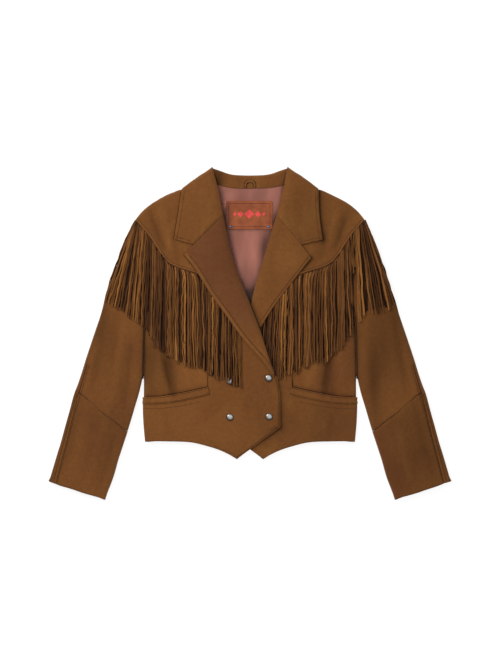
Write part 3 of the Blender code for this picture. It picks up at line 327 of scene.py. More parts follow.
def folds(rows, x, y, over, fading, sharpness):
    """Height that rows of folds add; each fades away a share of its length past its ends."""
    total = np.zeros_like(x)
    for x_a, y_a, x_b, y_b, half_width, height in rows:
        run = np.array([x_b - x_a, y_b - y_a], dtype=float)
        length = np.linalg.norm(run)
        share = ((x - x_a) * run[0] + (y - y_a) * run[1]) / length ** 2
        off = np.abs(run[0] * (y - y_a) - run[1] * (x - x_a)) / length
        ends = fade((share + over) / fading) * fade((1 + over - share) / fading)
        total += height * ends * np.exp(-(off / half_width * sharpness) ** 2)
    return total


def creases(x, y):
    """Height in millimetres of the creases alone, at places given in millimetres."""
    return folds(CREASES, x, y, 0.3, 0.55, 1.5)


def crease_height(x, y):
    """Height in millimetres that creases and broad swells add together."""
    total = creases(x, y)
    for x_wave, y_wave, phase, height in SWELLS:
        along = x / x_wave * 2 * math.pi + phase + 0.9 * np.sin(y / 97 + phase)
        total += height * np.sin(along) * np.sin(y / y_wave * 2 * math.pi + 2 * phase)
    return total


def beside(corners, points, reach):
    """Distance of each place from a line, or a large one where it is out of reach."""
    line = curve(corners, 4.0)
    low, high = line.min(axis=0) - reach, line.max(axis=0) + reach
    close = np.all((points[:, :2] > low) & (points[:, :2] < high), axis=1)
    distance = np.full(len(points), 1e3)
    if close.any():
        distance[close] = nearest(line, points[close, :2])[0]
    return distance


def nap_and_painted_shade(points, name):
    """How much the nap's tone, painted shade and painted shadow lighten or darken a piece at places given
    in millimetres.
    """
    x, y = points[:, 0], points[:, 1]
    # painted shade in the creases and painted light on their ridges
    total = CREASE_LIGHT_AND_SHADE * np.clip(creases(x, y), -2.5, 1.5)
    patches = [patch for kind, rows in NAP_AND_PAINTED_SHADE.items() if name.startswith(kind) for patch in rows]
    for at_x, at_y, half_x, half_y, amount in patches:
        total += amount * np.exp(-((x - at_x) / half_x) ** 2 - ((y - at_y) / half_y) ** 2)
    # painted shadow beside overlapping edges, painted shade at armholes and outer sleeve edges
    for kind, line, only, width, amount in PAINTED_EDGE_SHADE:
        if name.startswith(kind):
            for side in ((only,) if only else SIDES.values()):
                total += amount * np.exp(-beside(placed(line, side), points, 5 * width) / width)
    return np.clip(total, -0.85, 0.6)


def pull_edges(points, name):
    """Brings the softened edges and corners of a piece out to their line."""
    pulls = [pull for kinds, rows in PULLS if name.startswith(kinds) for pull in rows]
    for x, y, reach, x_pull, y_pull in pulls:
        for side in SIDES.values():
            near = fade(1 - np.hypot(points[:, 0] - side * x, points[:, 1] - y) / reach)
            points[:, 0] += side * x_pull * near
            points[:, 1] += y_pull * near


def read_points(mesh):
    points = np.empty(len(mesh.vertices) * 3)
    mesh.vertices.foreach_get("co", points)
    return points.reshape(-1, 3)


def box_mm(node_name):
    return [np.array(corner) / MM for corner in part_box(node_name)]


def write_points(mesh, points):
    mesh.vertices.foreach_set("co", points.ravel())
    mesh.update()


def travelled(steps):
    """How far along a line each of its places is, from the lengths of its steps."""
    return np.concatenate([[0.0], np.cumsum(steps)])


def curve(points, step):
    """A Catmull-Rom line through points, read at equal steps of about this length."""
    knots = np.asarray(points, dtype=float)
    guide = np.vstack([2 * knots[0] - knots[1], knots, 2 * knots[-1] - knots[-2]])
    t = np.linspace(0.0, 1.0, 16, endpoint=False)[:, None]
    spans = []
    for a, b, c, d in zip(guide, guide[1:], guide[2:], guide[3:]):
        cubic = 3 * b - a - 3 * c + d
        square = 2 * a - 5 * b + 4 * c - d
        spans.append(0.5 * (2 * b + (c - a) * t + square * t ** 2 + cubic * t ** 3))
    dense = np.vstack(spans + [knots[-1:]])
    along = travelled(np.linalg.norm(np.diff(dense[:, :2], axis=0), axis=1))
    count = max(2, int(round(along[-1] / step)) + 1)
    places = np.linspace(0.0, along[-1], count)
    return np.stack([np.interp(places, along, column) for column in dense.T], axis=1)


def nearest(line, points):
    """Distance from each point to a line, and the nearest place on it."""
    best = np.full(len(points), np.inf)
    place = np.zeros((len(points), 2))
    for a, b in zip(line[:-1, :2], line[1:, :2]):
        run = b - a
        share = np.clip(((points - a) @ run) / (run @ run), 0.0, 1.0)
        spot = a + share[:, None] * run
        distance = np.linalg.norm(points - spot, axis=1)
        closer = distance < best
        best[closer] = distance[closer]
        place[closer] = spot[closer]
    return best, place


CREASE_FROM = 3.0  # creases begin at this height over the table
CREASE_FULL = 10.0  # and are whole from here on
YOKE_LIP = 1.5  # how far the yoke's folded edge laps over the fringe
YOKE_LIP_REACH = 9.0
YOKE_RISE = 2.1  # and how far it stands up there
YOKE_RISE_REACH = 20.0
NESTLE = {"upper_sleeve": -2.3, "side_front": 1.7, "front": 1.0, "back": 1.6}
NESTLE_LOW = -100.0  # the pieces lean on each other from here
NESTLE_HIGH = 246.0  # up to here
ROLL_FALL = 2.2  # how far a lapel or collar rounds down to its roll
ROLL_PUFF = 1.5  # and how far it stands up beside it
ELBOW_LAP = 3.2  # the back strip of the forearm runs on this far over the elbow seam
ELBOW_WAY = (-0.28, 0.96)  # this way: inwards, and up the arm
STAND_SPREAD = 0.022  # the ends of the collar stand run on under the collar
STAND_RISE = 6.0  # and rise up to it


def lift_yoke_edge(points, side):
    """The yoke's folded edge laps over the strip that the fringe hangs from."""
    line = curve([(side * row[0], row[1]) for row in FRINGE], 4.0)
    distance, place = nearest(line, points[:, :2])
    way = (place - points[:, :2]) / np.maximum(distance, 1e-6)[:, None]
    points[:, :2] += way * (YOKE_LIP * fade(1 - distance / YOKE_LIP_REACH))[:, None]
    points[:, 2] += YOKE_RISE * fade(1 - distance / YOKE_RISE_REACH)


def nestle(points, amount):
    """Body and sleeve lean on each other along the armhole and down to the waist."""
    for side in SIDES.values():
        close = fade(1 - beside(placed(ARMHOLE, side), points, 14.0) / 12.0) * (points[:, 0] * side > 0)
        level = fade((points[:, 1] - NESTLE_LOW) / 22.0) * fade((NESTLE_HIGH - points[:, 1]) / 14.0)
        points[:, 0] += side * amount * close * level


def round_roll(points, line):
    """A lapel or collar stands up beside its roll and rounds down into it."""
    distance, _ = nearest(line, points[:, :2])
    points[:, 2] -= ROLL_FALL * np.clip(1 - distance / 11.0, 0, 1) ** 2
    points[:, 2] += ROLL_PUFF * fade(distance / 14.0) * fade(1 - (distance - 12.0) / 45.0)


def lap_elbow(points, side):
    """The forearm's back strip runs on over the end of the elbow seam."""
    line = curve(placed(ELBOW, side), 5.0)
    distance, place = nearest(line, points[:, :2])
    near = fade(1 - distance / 14.0)
    points[:, :2] += near[:, None] * np.array([side * ELBOW_WAY[0], ELBOW_WAY[1]]) * ELBOW_LAP
    points[:, 0] += side * 0.5 * near
    points[:, 2] += 0.5 * near * (points[:, 2] > 4)


def settle(item, node_name):
    """Moves a piece's upper faces by the creases, and leaves what lies on the table alone."""
    points = read_points(item.data) / MM
    weight = fade((points[:, 2] - CREASE_FROM) / (CREASE_FULL - CREASE_FROM))
    kind, _, word = node_name.rpartition("_")
    pull_edges(points, node_name)
    points[:, 2] += weight * crease_height(points[:, 0], points[:, 1])
    if kind == "yoke":
        lift_yoke_edge(points, SIDES[word])
    if kind in ("lapel", "collar") and word in SIDES:
        turned = ROLL[word] if kind == "lapel" else NECK_EDGE[word]
        round_roll(points, curve(placed(turned, SIDES[word]), 5.0))
    if kind == "forearm_back":
        lap_elbow(points, SIDES[word])
    if node_name == "neck_lining":
        points[:, 2] += lining_folds(points[:, 0], points[:, 1]) * fade((points[:, 2] - 2.0) / 0.8)
    if node_name == "collar_stand":
        points[:, 0] *= 1 + STAND_SPREAD * fade((np.abs(points[:, 0]) - 50.0) / 25.0)
        points[:, 2] += STAND_RISE * fade((np.abs(points[:, 0]) - 75.0) / 8.0)
    nestle(points, NESTLE.get(kind or node_name, 0.0))
    write_points(item.data, points * MM)
    paint_nap_and_shade(item, points, node_name)
    return item


def carry(item, name, values):
    """Stores one number for each point of a mesh."""
    layer = item.data.attributes.new(name, "FLOAT", "POINT")
    layer.data.foreach_set("value", np.array(values, dtype=np.float32))


def paint_nap_and_shade(item, points, node_name):
    # the nap attribute carries the nap's tone together with painted shade and painted shadow
    carry(item, "nap", nap_and_painted_shade(points, node_name))


# Folds of the lining. Columns: x from, y from, x to, y to, half width, height.
LINING_FOLDS = [
    (-30, 190, -6, 96, 9, 0.8), (12, 205, 18, 120, 13, 1.1), (30, 208, 22, 150, 6, -0.5),
    (-44, 214, -34, 168, 7, 0.6), (40, 300, -38, 292, 6, 0.5), (-50, 306, -46, 240, 6, 0.4),
    (52, 300, 50, 226, 6, 0.5), (2, 190, 0, 80, 8, -0.6), (38, 212, 30, 196, 5, 0.7),
]
LABEL_REACH = (-56, 53, 211, 284)  # the lining stays flat under the label


def lining_folds(x, y):
    total = folds(LINING_FOLDS, x, y, 0.25, 0.5, 1.0)
    x_low, x_high, y_low, y_high = LABEL_REACH
    inside = fade((x - x_low) / 6) * fade((x_high - x) / 6) * fade((y - y_low) / 6) * fade((y_high - y) / 6)
    return np.maximum(total, -0.6) * (1 - 0.85 * inside)


# ---- shells made on the solids' forms ----

SHARP_IN_CAGE = math.radians(38)
SHARP_CORNER = math.radians(40)
SHARP_IN_CLOTH = math.radians(50)
SHARP_IN_STRANDS = math.radians(48)
SHARP_IN_PATCH = math.radians(55)
LEAST_RIM = 2.5 * MM  # shorter edges don't make a corner
WELD = 0.02 * MM
FIT_ROUNDS = 2
FIT_MOST = 1.6 * MM


def quad_cage(node):
    """A copy of a solid's mesh as quads, with its real edges and corners creased."""
    cage = bmesh.new()
    cage.from_mesh(node.data)
    bmesh.ops.remove_doubles(cage, verts=cage.verts, dist=WELD)
    bmesh.ops.recalc_face_normals(cage, faces=cage.faces)
    bmesh.ops.join_triangles(cage, faces=cage.faces, angle_face_threshold=math.radians(24),
                             angle_shape_threshold=math.radians(60))
    edge_crease = cage.edges.layers.float.new("crease_edge")
    corner_crease = cage.verts.layers.float.new("crease_vert")
    for edge in cage.edges:
        if len(edge.link_faces) == 2 and edge.calc_face_angle(0.0) > SHARP_IN_CAGE:
            edge[edge_crease] = 1.0
    for corner in cage.verts:
        rims = [edge for edge in corner.link_edges if edge[edge_crease] > 0.5]
        ways = [(edge.other_vert(corner).co - corner.co).normalized() for edge in rims]
        flat = [way for way, edge in zip(ways, rims) if edge.calc_length() > LEAST_RIM]
        if len(flat) == 2 and flat[0].angle(-flat[1]) > SHARP_CORNER:
            corner[corner_crease] = 1.0
    mesh = bpy.data.meshes.new(node.name + "_cage")
    cage.to_mesh(mesh)
    cage.free()
    return mesh


def subdivided(item, level):
    """A new mesh: an object's own, subdivided this often."""
    subdivision = item.modifiers.new("finer", "SUBSURF")
    subdivision.levels = level
    subdivision.render_levels = level
    subdivision.boundary_smooth = "ALL"
    bpy.context.view_layer.update()
    mesh = bpy.data.meshes.new_from_object(item.evaluated_get(bpy.context.evaluated_depsgraph_get()))
    item.modifiers.clear()
    return mesh


def fit_cage(item):
    """Pushes a cage out a little, so that its subdivided form keeps closer to the solid's corners."""
    wanted = read_points(item.data)
    pushed = wanted.copy()
    for _ in range(FIT_ROUNDS):
        finer = subdivided(item, 1)
        short = wanted - read_points(finer)[:len(wanted)]
        size = np.linalg.norm(short, axis=1)[:, None]
        pushed += short * np.minimum(1.0, FIT_MOST / np.maximum(size, 1e-9))
        write_points(item.data, pushed)


def shell(name, node_name, level):
    """A finer form of one solid: its cage subdivided, with the creases laid in."""
    item = bpy.data.objects.new(name, quad_cage(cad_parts[node_name]))
    bpy.context.scene.collection.objects.link(item)
    fit_cage(item)
    item.data = subdivided(item, level)
    item.data.name = name
    item.data.shade_smooth()
    item.data.set_sharp_from_angle(angle=SHARP_IN_CLOTH)
    settle(item, node_name)
    return item


class Surface:
    """Reads how high the topmost face of some pieces lies, in millimetres."""

    def __init__(self, items):
        vertices, faces = [], []
        for item in items:
            start = len(vertices)
            vertices += [tuple(point) for point in read_points(item.data)]
            faces += [[start + corner for corner in face.vertices] for face in item.data.polygons]
        self.tree = BVHTree.FromPolygons(vertices, faces)

    def at(self, x, y, default=None):
        hit = self.tree.ray_cast(Vector((x * MM, y * MM, 0.2)), Vector((0, 0, -1)))[0]
        return hit.z / MM if hit else default


def over(*names):
    return Surface([shells[name] for name in names])


# ---- materials ----

def new_material(name):
    material = bpy.data.materials.new(name)
    material.use_nodes = True
    return material, material.node_tree, material.node_tree.nodes["Principled BSDF"]


def fill(tree, node, values):
    """Sets a node's inputs: a socket is linked, a number or colour is set on the input itself."""
    for place, value in values.items():
        if isinstance(value, bpy.types.NodeSocket):
            tree.links.new(value, node.inputs[place])
        else:
            node.inputs[place].default_value = value
    return node


def add(tree, kind, values):
    return fill(tree, tree.nodes.new("ShaderNode" + kind), values)


def places(tree):
    """Where the shaded point is, in the piece's own metres."""
    return add(tree, "TexCoord", {}).outputs["Object"]


def carried(tree, name):
    """The number of this name that each point of the mesh carries."""
    node = add(tree, "Attribute", {})
    node.attribute_name = name
    return node.outputs["Fac"]


def noise(tree, vector, scale, detail, roughness, stretch=None):
    if stretch:
        vector = add(tree, "Mapping", {"Scale": stretch, "Vector": vector}).outputs["Vector"]
    values = {"Scale": scale, "Detail": detail, "Roughness": roughness, "Vector": vector}
    return add(tree, "TexNoise", values).outputs["Fac"]


def ramp(tree, value, low, high, from_value=0.0, to_value=1.0, kind="SMOOTHSTEP"):
    values = {"From Min": low, "From Max": high, "To Min": from_value, "To Max": to_value, "Value": value}
    node = add(tree, "MapRange", values)
    node.interpolation_type = kind
    return node.outputs["Result"]


def mix(tree, factor, first, second, mode="MIX"):
    node = tree.nodes.new("ShaderNodeMix")
    node.data_type = "RGBA"
    node.blend_type = mode
    first, second = [(*one, 1.0) if isinstance(one, tuple) else one for one in (first, second)]
    return fill(tree, node, {0: factor, 6: first, 7: second}).outputs[2]


def shaded(tree, colour, value, low, high, dark, bright, kind="SMOOTHSTEP"):
    """The colour, multiplied by an amount that runs with the value from one to another."""
    amount = ramp(tree, value, low, high, dark, bright, kind)
    grey = add(tree, "CombineColor", {0: amount, 1: amount, 2: amount}).outputs["Color"]
    return mix(tree, 1.0, colour, grey, "MULTIPLY")


def bump(tree, height, strength, distance, base=None):
    values = {"Strength": strength, "Distance": distance, "Height": height}
    if base:
        values["Normal"] = base
    return add(tree, "Bump", values).outputs["Normal"]


def with_nap_and_painted_shade(tree, colour):
    """The colour, made lighter or darker by the amount that the mesh carries: the nap's tone, painted shade
    and painted shadow.
    """
    return shaded(tree, colour, carried(tree, "nap"), -1.0, 1.0, 0.0, 2.0, "LINEAR")


# Patterns of suede, broad patches first: scale, detail, roughness, stretch.
SUEDE_PATTERNS = [
    (7.5, 3.0, 0.6, (1.0, 0.75, 1.0)), (22.0, 3.0, 0.6, (1.0, 0.45, 1.0)),
    (150.0, 4.0, 0.65), (1500.0, 2.0, 0.5),
]
# How patches, nap and grain shade it: from, to, the amount there.
SUEDE_SHADING = [(0.30, 0.70, 1.07, 0.93), (0.25, 0.75, 0.91, 1.09), (0.2, 0.8, 0.90, 1.10)]


def suede(name, base=SUEDE, gold=0.5, red=0.35, offset=0.0, gold_below=None):
    """Napped suede: broad patches of brushing, nap marks and a fine grain."""
    material, tree, shader = new_material(name)
    place = places(tree)
    shifted = add(tree, "Mapping", {"Location": (offset, 0.37 * offset, 0.0), "Vector": place})
    up = add(tree, "SeparateXYZ", {"Vector": place}).outputs["Y"]
    place = shifted.outputs["Vector"]
    patches, streaks, nap, grain = [noise(tree, place, *pattern) for pattern in SUEDE_PATTERNS]
    colour = mix(tree, ramp(tree, patches, 0.45, 0.70, 0.0, red), base, SUEDE_RED)
    colour = mix(tree, ramp(tree, streaks, 0.47, 0.70, 0.0, gold), colour, SUEDE_GOLD)
    if gold_below:
        colour = mix(tree, ramp(tree, up, *gold_below, 0.85, 0.0), colour, SUEDE_LOW)
    for pattern, amounts in zip((patches, nap, grain), SUEDE_SHADING):
        colour = shaded(tree, colour, pattern, *amounts)
    # painted shade, painted shadow and the nap's tone that the mesh carries
    colour = with_nap_and_painted_shade(tree, colour)
    normal = bump(tree, grain, 0.35, 0.0002, bump(tree, nap, 0.25, 0.0006))
    fill(tree, shader, {
        "Base Color": colour, "Roughness": 0.95, "Specular IOR Level": 0.12, "Sheen Weight": 0.22,
        "Sheen Roughness": 0.45, "Sheen Tint": SUEDE_SHEEN, "Normal": normal,
    })
    return material


# Tones of the strands. Columns: from, to, the colour reached there.
STRAND_TONES = [
    (0.0, 0.35, (0.082, 0.032, 0.0125)), (0.35, 0.7, (0.158, 0.063, 0.0190)),
    (0.7, 1.0, (0.300, 0.124, 0.032)),
]


def fringe_suede(name):
    """Cut strands: each has its own tone, stored on the mesh."""
    material, tree, shader = new_material(name)
    place = places(tree)
    tone = carried(tree, "tone")
    grain = noise(tree, place, 900.0, 2.0, 0.5)
    drift = noise(tree, place, 30.0, 2.0, 0.5)
    # tone 0 is the painted shadow between strands
    colour = STRAND_PAINTED_SHADOW
    for low, high, shade in STRAND_TONES:
        colour = mix(tree, ramp(tree, tone, low, high, kind="LINEAR"), colour, shade)
    colour = shaded(tree, colour, grain, 0.2, 0.8, 0.88, 1.12)
    colour = shaded(tree, colour, drift, 0.3, 0.7, 0.88, 1.12)
    fill(tree, shader, {
        "Base Color": colour, "Roughness": 0.9, "Specular IOR Level": 0.06, "Sheen Weight": 0.06,
        "Sheen Tint": SUEDE_SHEEN, "Normal": bump(tree, grain, 0.3, 0.0002),
    })
    return material


def satin(name):
    material, tree, shader = new_material(name)
    place = places(tree)
    ripples = noise(tree, place, 26.0, 2.0, 0.45, (1.0, 0.32, 1.0))
    weave = noise(tree, place, 1300.0, 1.0, 0.4, (1.0, 0.25, 1.0))
    # painted sheen on the ripples' crests and painted shade in their troughs, then the painted shade that
    # the mesh carries
    colour = with_nap_and_painted_shade(tree, mix(tree, ramp(tree, ripples, 0.35, 0.7), SATIN_PAINTED_SHADE, SATIN_PAINTED_SHEEN))
    normal = bump(tree, weave, 0.15, 0.0002, bump(tree, ripples, 0.5, 0.004))
    fill(tree, shader, {
        "Base Color": colour, "Roughness": 0.46, "Specular IOR Level": 0.22, "Anisotropic": 0.5,
        "Sheen Weight": 0.05, "Normal": normal,
    })
    return material


def smooth_leather(name, colour):
    material, tree, shader = new_material(name)
    place = places(tree)
    wear = noise(tree, place, 55.0, 3.0, 0.6)
    pores = add(tree, "TexVoronoi", {"Scale": 900.0, "Vector": place}).outputs["Distance"]
    worn, fresh = [tuple(part * share for part in colour) for share in (0.78, 1.15)]
    colour = with_nap_and_painted_shade(tree, mix(tree, ramp(tree, wear, 0.3, 0.7), worn, fresh))
    fill(tree, shader, {
        "Base Color": colour, "Roughness": 0.6, "Specular IOR Level": 0.2,
        "Normal": bump(tree, pores, 0.25, 0.0003),
    })
    return material


def metal(name, colour, roughness, rim):
    """Polished metal, with a painted highlight on each dome and painted shade towards its rim."""
    material, tree, shader = new_material(name)
    coordinates = add(tree, "TexCoord", {}).outputs
    scuffs = noise(tree, coordinates["Object"], 700.0, 3.0, 0.7)
    off = add(tree, "VectorMath", {0: coordinates["Generated"], 1: PAINTED_HIGHLIGHT_PLACE})
    off.operation = "DISTANCE"
    worn = mix(tree, ramp(tree, scuffs, 0.35, 0.75), colour, tuple(part * 0.86 for part in colour))
    # painted highlight at its place on each dome, and painted shade darker by the factor rim away from it
    fill(tree, shader, {
        "Base Color": shaded(tree, worn, off.outputs["Value"], 0.10, 0.85, 1.0, rim), "Metallic": 1.0,
        "Roughness": ramp(tree, scuffs, 0.3, 0.8, roughness * 0.8, roughness * 1.3),
    })
    return material


def plain(name, colour):
    material, tree, shader = new_material(name)
    fleck = noise(tree, places(tree), 1200.0, 2.0, 0.5)
    colour = shaded(tree, colour, fleck, 0.2, 0.8, 0.88, 1.12)
    fill(tree, shader, {"Base Color": colour, "Roughness": 0.9, "Specular IOR Level": 0.08})
    return material


def dress(item, materials, node_name=None):
    """Puts a piece on the one body, with its materials and the solid that it stands for."""
    for material in materials:
        item.data.materials.append(material)
    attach(item, "root")
    if node_name:
        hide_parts(node_name)
    return item


# ---- camera and light ----

CLOSER = 1.003  # the outline as drawn against the softened edges
LIGHTS = [  # name, place, size, power, colour
    ("key", (-1.45, 1.15, 1.6), 0.9, 32.0, (1.0, 0.985, 0.96)),
    ("fill", (1.9, -0.6, 2.6), 2.4, 7.0, (1.0, 1.0, 1.0)),
    ("top", (0.0, 0.3, 3.6), 3.0, 20.0, (1.0, 1.0, 1.0)),
]
SKY_POWER = 0.42
FLOOR_GLOW = 0.80
FLOOR_DROP = -0.3 * MM  # the floor lies this far under the cloth


def make_camera():
    camera = bpy.data.cameras.new("camera")
    camera.type = "PERSP"
    camera.sensor_width = 36.0
    distance = CAMERA_HEIGHT - CLOTH_TOP
    camera.lens = camera.sensor_width * distance / (FRAME_PIXELS[1] * PIXEL) * CLOSER
    camera.clip_end = 100.0
    item = bpy.data.objects.new("camera", camera)
    item.location = (0.0, 0.0, CAMERA_HEIGHT)
    bpy.context.scene.collection.objects.link(item)
    bpy.context.scene.camera = item


def area_light(name, place, size, power, colour):
    light = bpy.data.lights.new(name, "AREA")
    light.shape = "RECTANGLE"
    light.size = light.size_y = size
    light.energy = power
    light.color = colour
    item = bpy.data.objects.new(name, light)
    item.location = place
    item.rotation_euler = (-Vector(place)).to_track_quat("-Z", "Y").to_euler()
    bpy.context.scene.collection.objects.link(item)


def make_studio():
    for light in LIGHTS:
        area_light(*light)
    world = bpy.data.worlds.new("studio")
    world.use_nodes = True
    fill(world.node_tree, world.node_tree.nodes["Background"], {"Color": WHITE, "Strength": SKY_POWER})
    bpy.context.scene.world = world
    bpy.context.scene.view_settings.view_transform = "Standard"
    corners = [(-6, -6, 0), (6, -6, 0), (6, 6, 0), (-6, 6, 0)]
    floor = mesh_object("floor", corners, [(0, 1, 2, 3)], smooth=False)
    material, tree, shader = new_material("floor")
    fill(tree, shader, {
        "Base Color": FLOOR, "Roughness": 0.9, "Emission Color": WHITE, "Emission Strength": FLOOR_GLOW,
    })
    floor.data.materials.append(material)
    floor.location.z = FLOOR_DROP


# ---- the fringe ----

def fringe_table(side, word):
    """Root and tip of the fringe along the yoke seam: x, y, tip x, tip y, every millimetre."""
    tip = 3 if word == "right" else 4
    lean = [LEAN * (word == "left") * fade((95.0 - row[0]) / 60.0) for row in FRINGE]
    rows = [(side * row[0], row[1], side * (row[2] - aside), row[tip]) for row, aside in zip(FRINGE, lean)]
    fine = curve(rows, 1.0)
    steps = np.diff(fine, axis=0)
    run = travelled((np.linalg.norm(steps[:, :2], axis=1) + np.linalg.norm(steps[:, 2:], axis=1)) / 2)
    even = np.arange(0.0, run[-1], 1.0)
    return np.stack([np.interp(even, run, column) for column in fine.T], axis=1)


def strand_path(table, place, rng):
    """Centre line of one strand in plan, from just above the seam to its tip."""
    root_x, root_y, tip_x, tip_y = [np.interp(place, np.arange(len(table)), column) for column in table.T]
    root, tip = np.array([root_x, root_y]), np.array([tip_x, tip_y])
    for word, start, end, part in SHORT_STRANDS:
        if SIDES[word] * tip[0] > 0 and start < abs(tip[0]) < end:
            tip = root + (tip - root) * part
    uneven = np.clip(rng.normal(0, 1, 2), -TIP_MOST, TIP_MOST) * TIP_SCATTER
    tip += [height * math.sin(place / span) + stray for (height, span), stray in zip(TIP_WAVES, uneven)]
    way = (tip - root) / np.linalg.norm(tip - root)
    across = np.array([-way[1], way[0]])
    share = np.linspace(0.0, 1.0, STRAND_STEPS)
    bow = BOW * math.sin(place / 17.0 + 1.0) + rng.normal(0, BOW)
    ripple = rng.normal(0, RIPPLE)
    turns = rng.uniform(*RIPPLE_TURNS)
    phase = rng.uniform(0, 2 * math.pi)
    aside = (bow + ripple * np.sin(turns * math.pi * share + phase)) * np.sin(math.pi * share)
    aside += rng.normal(0, TREMBLE) * np.sin((2.1 * turns + 3.0) * math.pi * share + 2.0 * phase)
    cap_bow = CAP_BOW["left" if tip[0] > 0 else "right"]
    aside += cap_bow * np.sign(tip[0]) * fade(1 - place / CAP_REACH) * np.sin(math.pi * share ** 0.8) ** 0.7
    length = np.linalg.norm(tip - root)
    hook = rng.normal(*HOOK) + rng.uniform(*HOOK_INSIDE) * fade((place - 85.0) / 30.0)
    hooked = np.sign(tip[0]) * hook * np.exp(-share * length / HOOK_REACH)
    aside += hooked + rng.normal(0, CURL) * fade((share - CURL_FROM) / 0.5)
    return root + share[:, None] * (tip - root) + aside[:, None] * across


def bridged(heights, steps):
    """Heights that never fall faster than a strand does between the places it rests on."""
    along = travelled(steps)
    reach = heights[None, :] - BRIDGE_SLOPE * np.abs(along[:, None] - along[None, :])
    return reach.max(axis=1)


def covered(path, ground, covers):
    """Room for a strand at each place: the ground, and the underside of what lies over it."""
    floor, ceiling = [], []
    for x, y in path:
        floor.append(ground.at(x, y))
        tops = [(cover.at(x, y), ply) for cover, ply in covers]
        ceiling.append(min([top - ply for top, ply in tops if top is not None], default=NO_COVER))
    known = [height for height in floor if height is not None]
    first = known[0] if known else CLOTH_TOP / MM
    for step, height in enumerate(floor):
        floor[step] = first if height is None else height
        first = floor[step]
    return np.array(floor), np.array(ceiling)


def ribbon(path, heights, twist, widths, shades, vertices, faces, tones):
    """Adds one strand: a four-sided strip that turns about its own centre line."""
    base = len(vertices)
    run = np.gradient(path, axis=0)
    run /= np.maximum(np.linalg.norm(run, axis=1), 1e-6)[:, None]
    for (x, y), z, angle, width, tone, (dx, dy) in zip(path, heights, twist, widths, shades, run):
        side = np.array([-dy * math.cos(angle), dx * math.cos(angle), math.sin(angle)]) * width / 2
        up = np.array([dy * math.sin(angle), -dx * math.sin(angle), math.cos(angle)]) * STRAND_PLY / 2
        centre = np.array([x, y, z])
        for corner in (centre - side + up, centre + side + up, centre + side - up, centre - side - up):
            vertices.append(corner * MM)
            tones.append(tone)
    faces += swept_faces(base, len(path), 4)


def add_strand(place, layer, table, ground, covers, rng, parts):
    _, lift, most_twist, widths, (dark, bright), there = layer
    clump = sum((height * math.sin(place / span + turn * lift) for height, span, turn in CLUMPS), 0.5)
    if rng.uniform() > there + 0.9 * (clump - 0.5) * (there < 0.9):
        return
    path = strand_path(table, place, rng)
    word = "left" if path[0][0] > 0 else "right"
    floor, ceiling = covered(path, ground, covers)
    width = rng.uniform(*widths)
    twist = rng.normal(0, 0.35) * most_twist + np.cumsum(rng.normal(0, 0.13 * most_twist, STRAND_STEPS))
    share = np.linspace(0.0, 1.0, STRAND_STEPS)
    twist = np.clip(twist, -most_twist, most_twist) * fade(share / 0.12)
    clump += STRAND_SHINE * fade((place - 110.0) / 60.0) * (word == "left")
    for out, reach, amount in STRAND_ZONES[word]:
        clump += amount * fade(1.4 - 1.4 * abs(abs(path[STRAND_STEPS // 2][0]) - out) / reach)
    tone = dark + (bright - dark) * np.clip(clump + rng.normal(0, TONE_SCATTER), 0, 1)
    tone = tone * (1 - CAP_SHADE * fade(1.6 - place / 45) * np.exp(-7 * share))
    tone *= 1 - ROLL_SHADE * np.exp(-beside(placed(ROLL["right"], SIDES["right"]), path, 40.0) / 9.0)
    rise = ROOT_LIFT + (lift - ROOT_LIFT + rng.uniform(0, 0.5)) * fade(share / 0.10)
    half = width / 2 * np.abs(np.sin(twist)) + STRAND_PLY / 2 * np.cos(twist)
    steps = np.linalg.norm(np.diff(path, axis=0), axis=1)
    heights = bridged(floor + rise + half, steps)
    heights = np.minimum(heights, np.maximum(ceiling - half - 0.2, floor + 0.6))
    hidden = np.nonzero(ceiling - floor < LEAST_ROOM)[0]
    stop = STRAND_STEPS - (lift < 1)
    if len(hidden):
        along = travelled(steps)
        past = along > along[hidden[0]] + TRIM_EDGE
        stop = int(np.argmax(past)) if past.any() else stop
    if stop < LEAST_STEPS:
        return
    wave = 0.16 * np.sin(rng.uniform(7, 19) * share + place)
    widths = width * (1 - 0.10 * share + wave) * (0.62 + 0.38 * fade(share / 0.14))
    ribbon(path[:stop], heights[:stop], twist[:stop], widths[:stop], tone[:stop], *parts)


def root_band(table, ground, parts):
    """The uncut strip that the strands hang from, tucked under the yoke's edge."""
    vertices, faces, tones = parts
    base = len(vertices)
    shares = ROOT_BAND_SHARES
    rows = table[::3]
    for row in rows:
        way = row[2:] - row[:2]
        way /= np.linalg.norm(way)
        below = row[:2] + way * 3.0
        z = ground.at(*below, default=CLOTH_TOP / MM) + 0.2
        for share in shares:
            x, y = row[:2] + way * ROOT_BAND * share
            vertices.append(np.array([x, y, z + 0.9 * (1 - 0.6 * max(share, 0))]) * MM)
            tones.append(ROOT_BAND_TONES["top"])
        for share in reversed(shares):
            x, y = row[:2] + way * ROOT_BAND * share
            vertices.append(np.array([x, y, z]) * MM)
            tones.append(ROOT_BAND_TONES["under"])
    ring = 2 * len(shares)
    last = base + ring * (len(rows) - 1)
    faces += ring_faces(base, len(rows), ring)
    faces.append(tuple(range(base, base + ring)))
    faces.append(tuple(reversed(range(last, last + ring))))


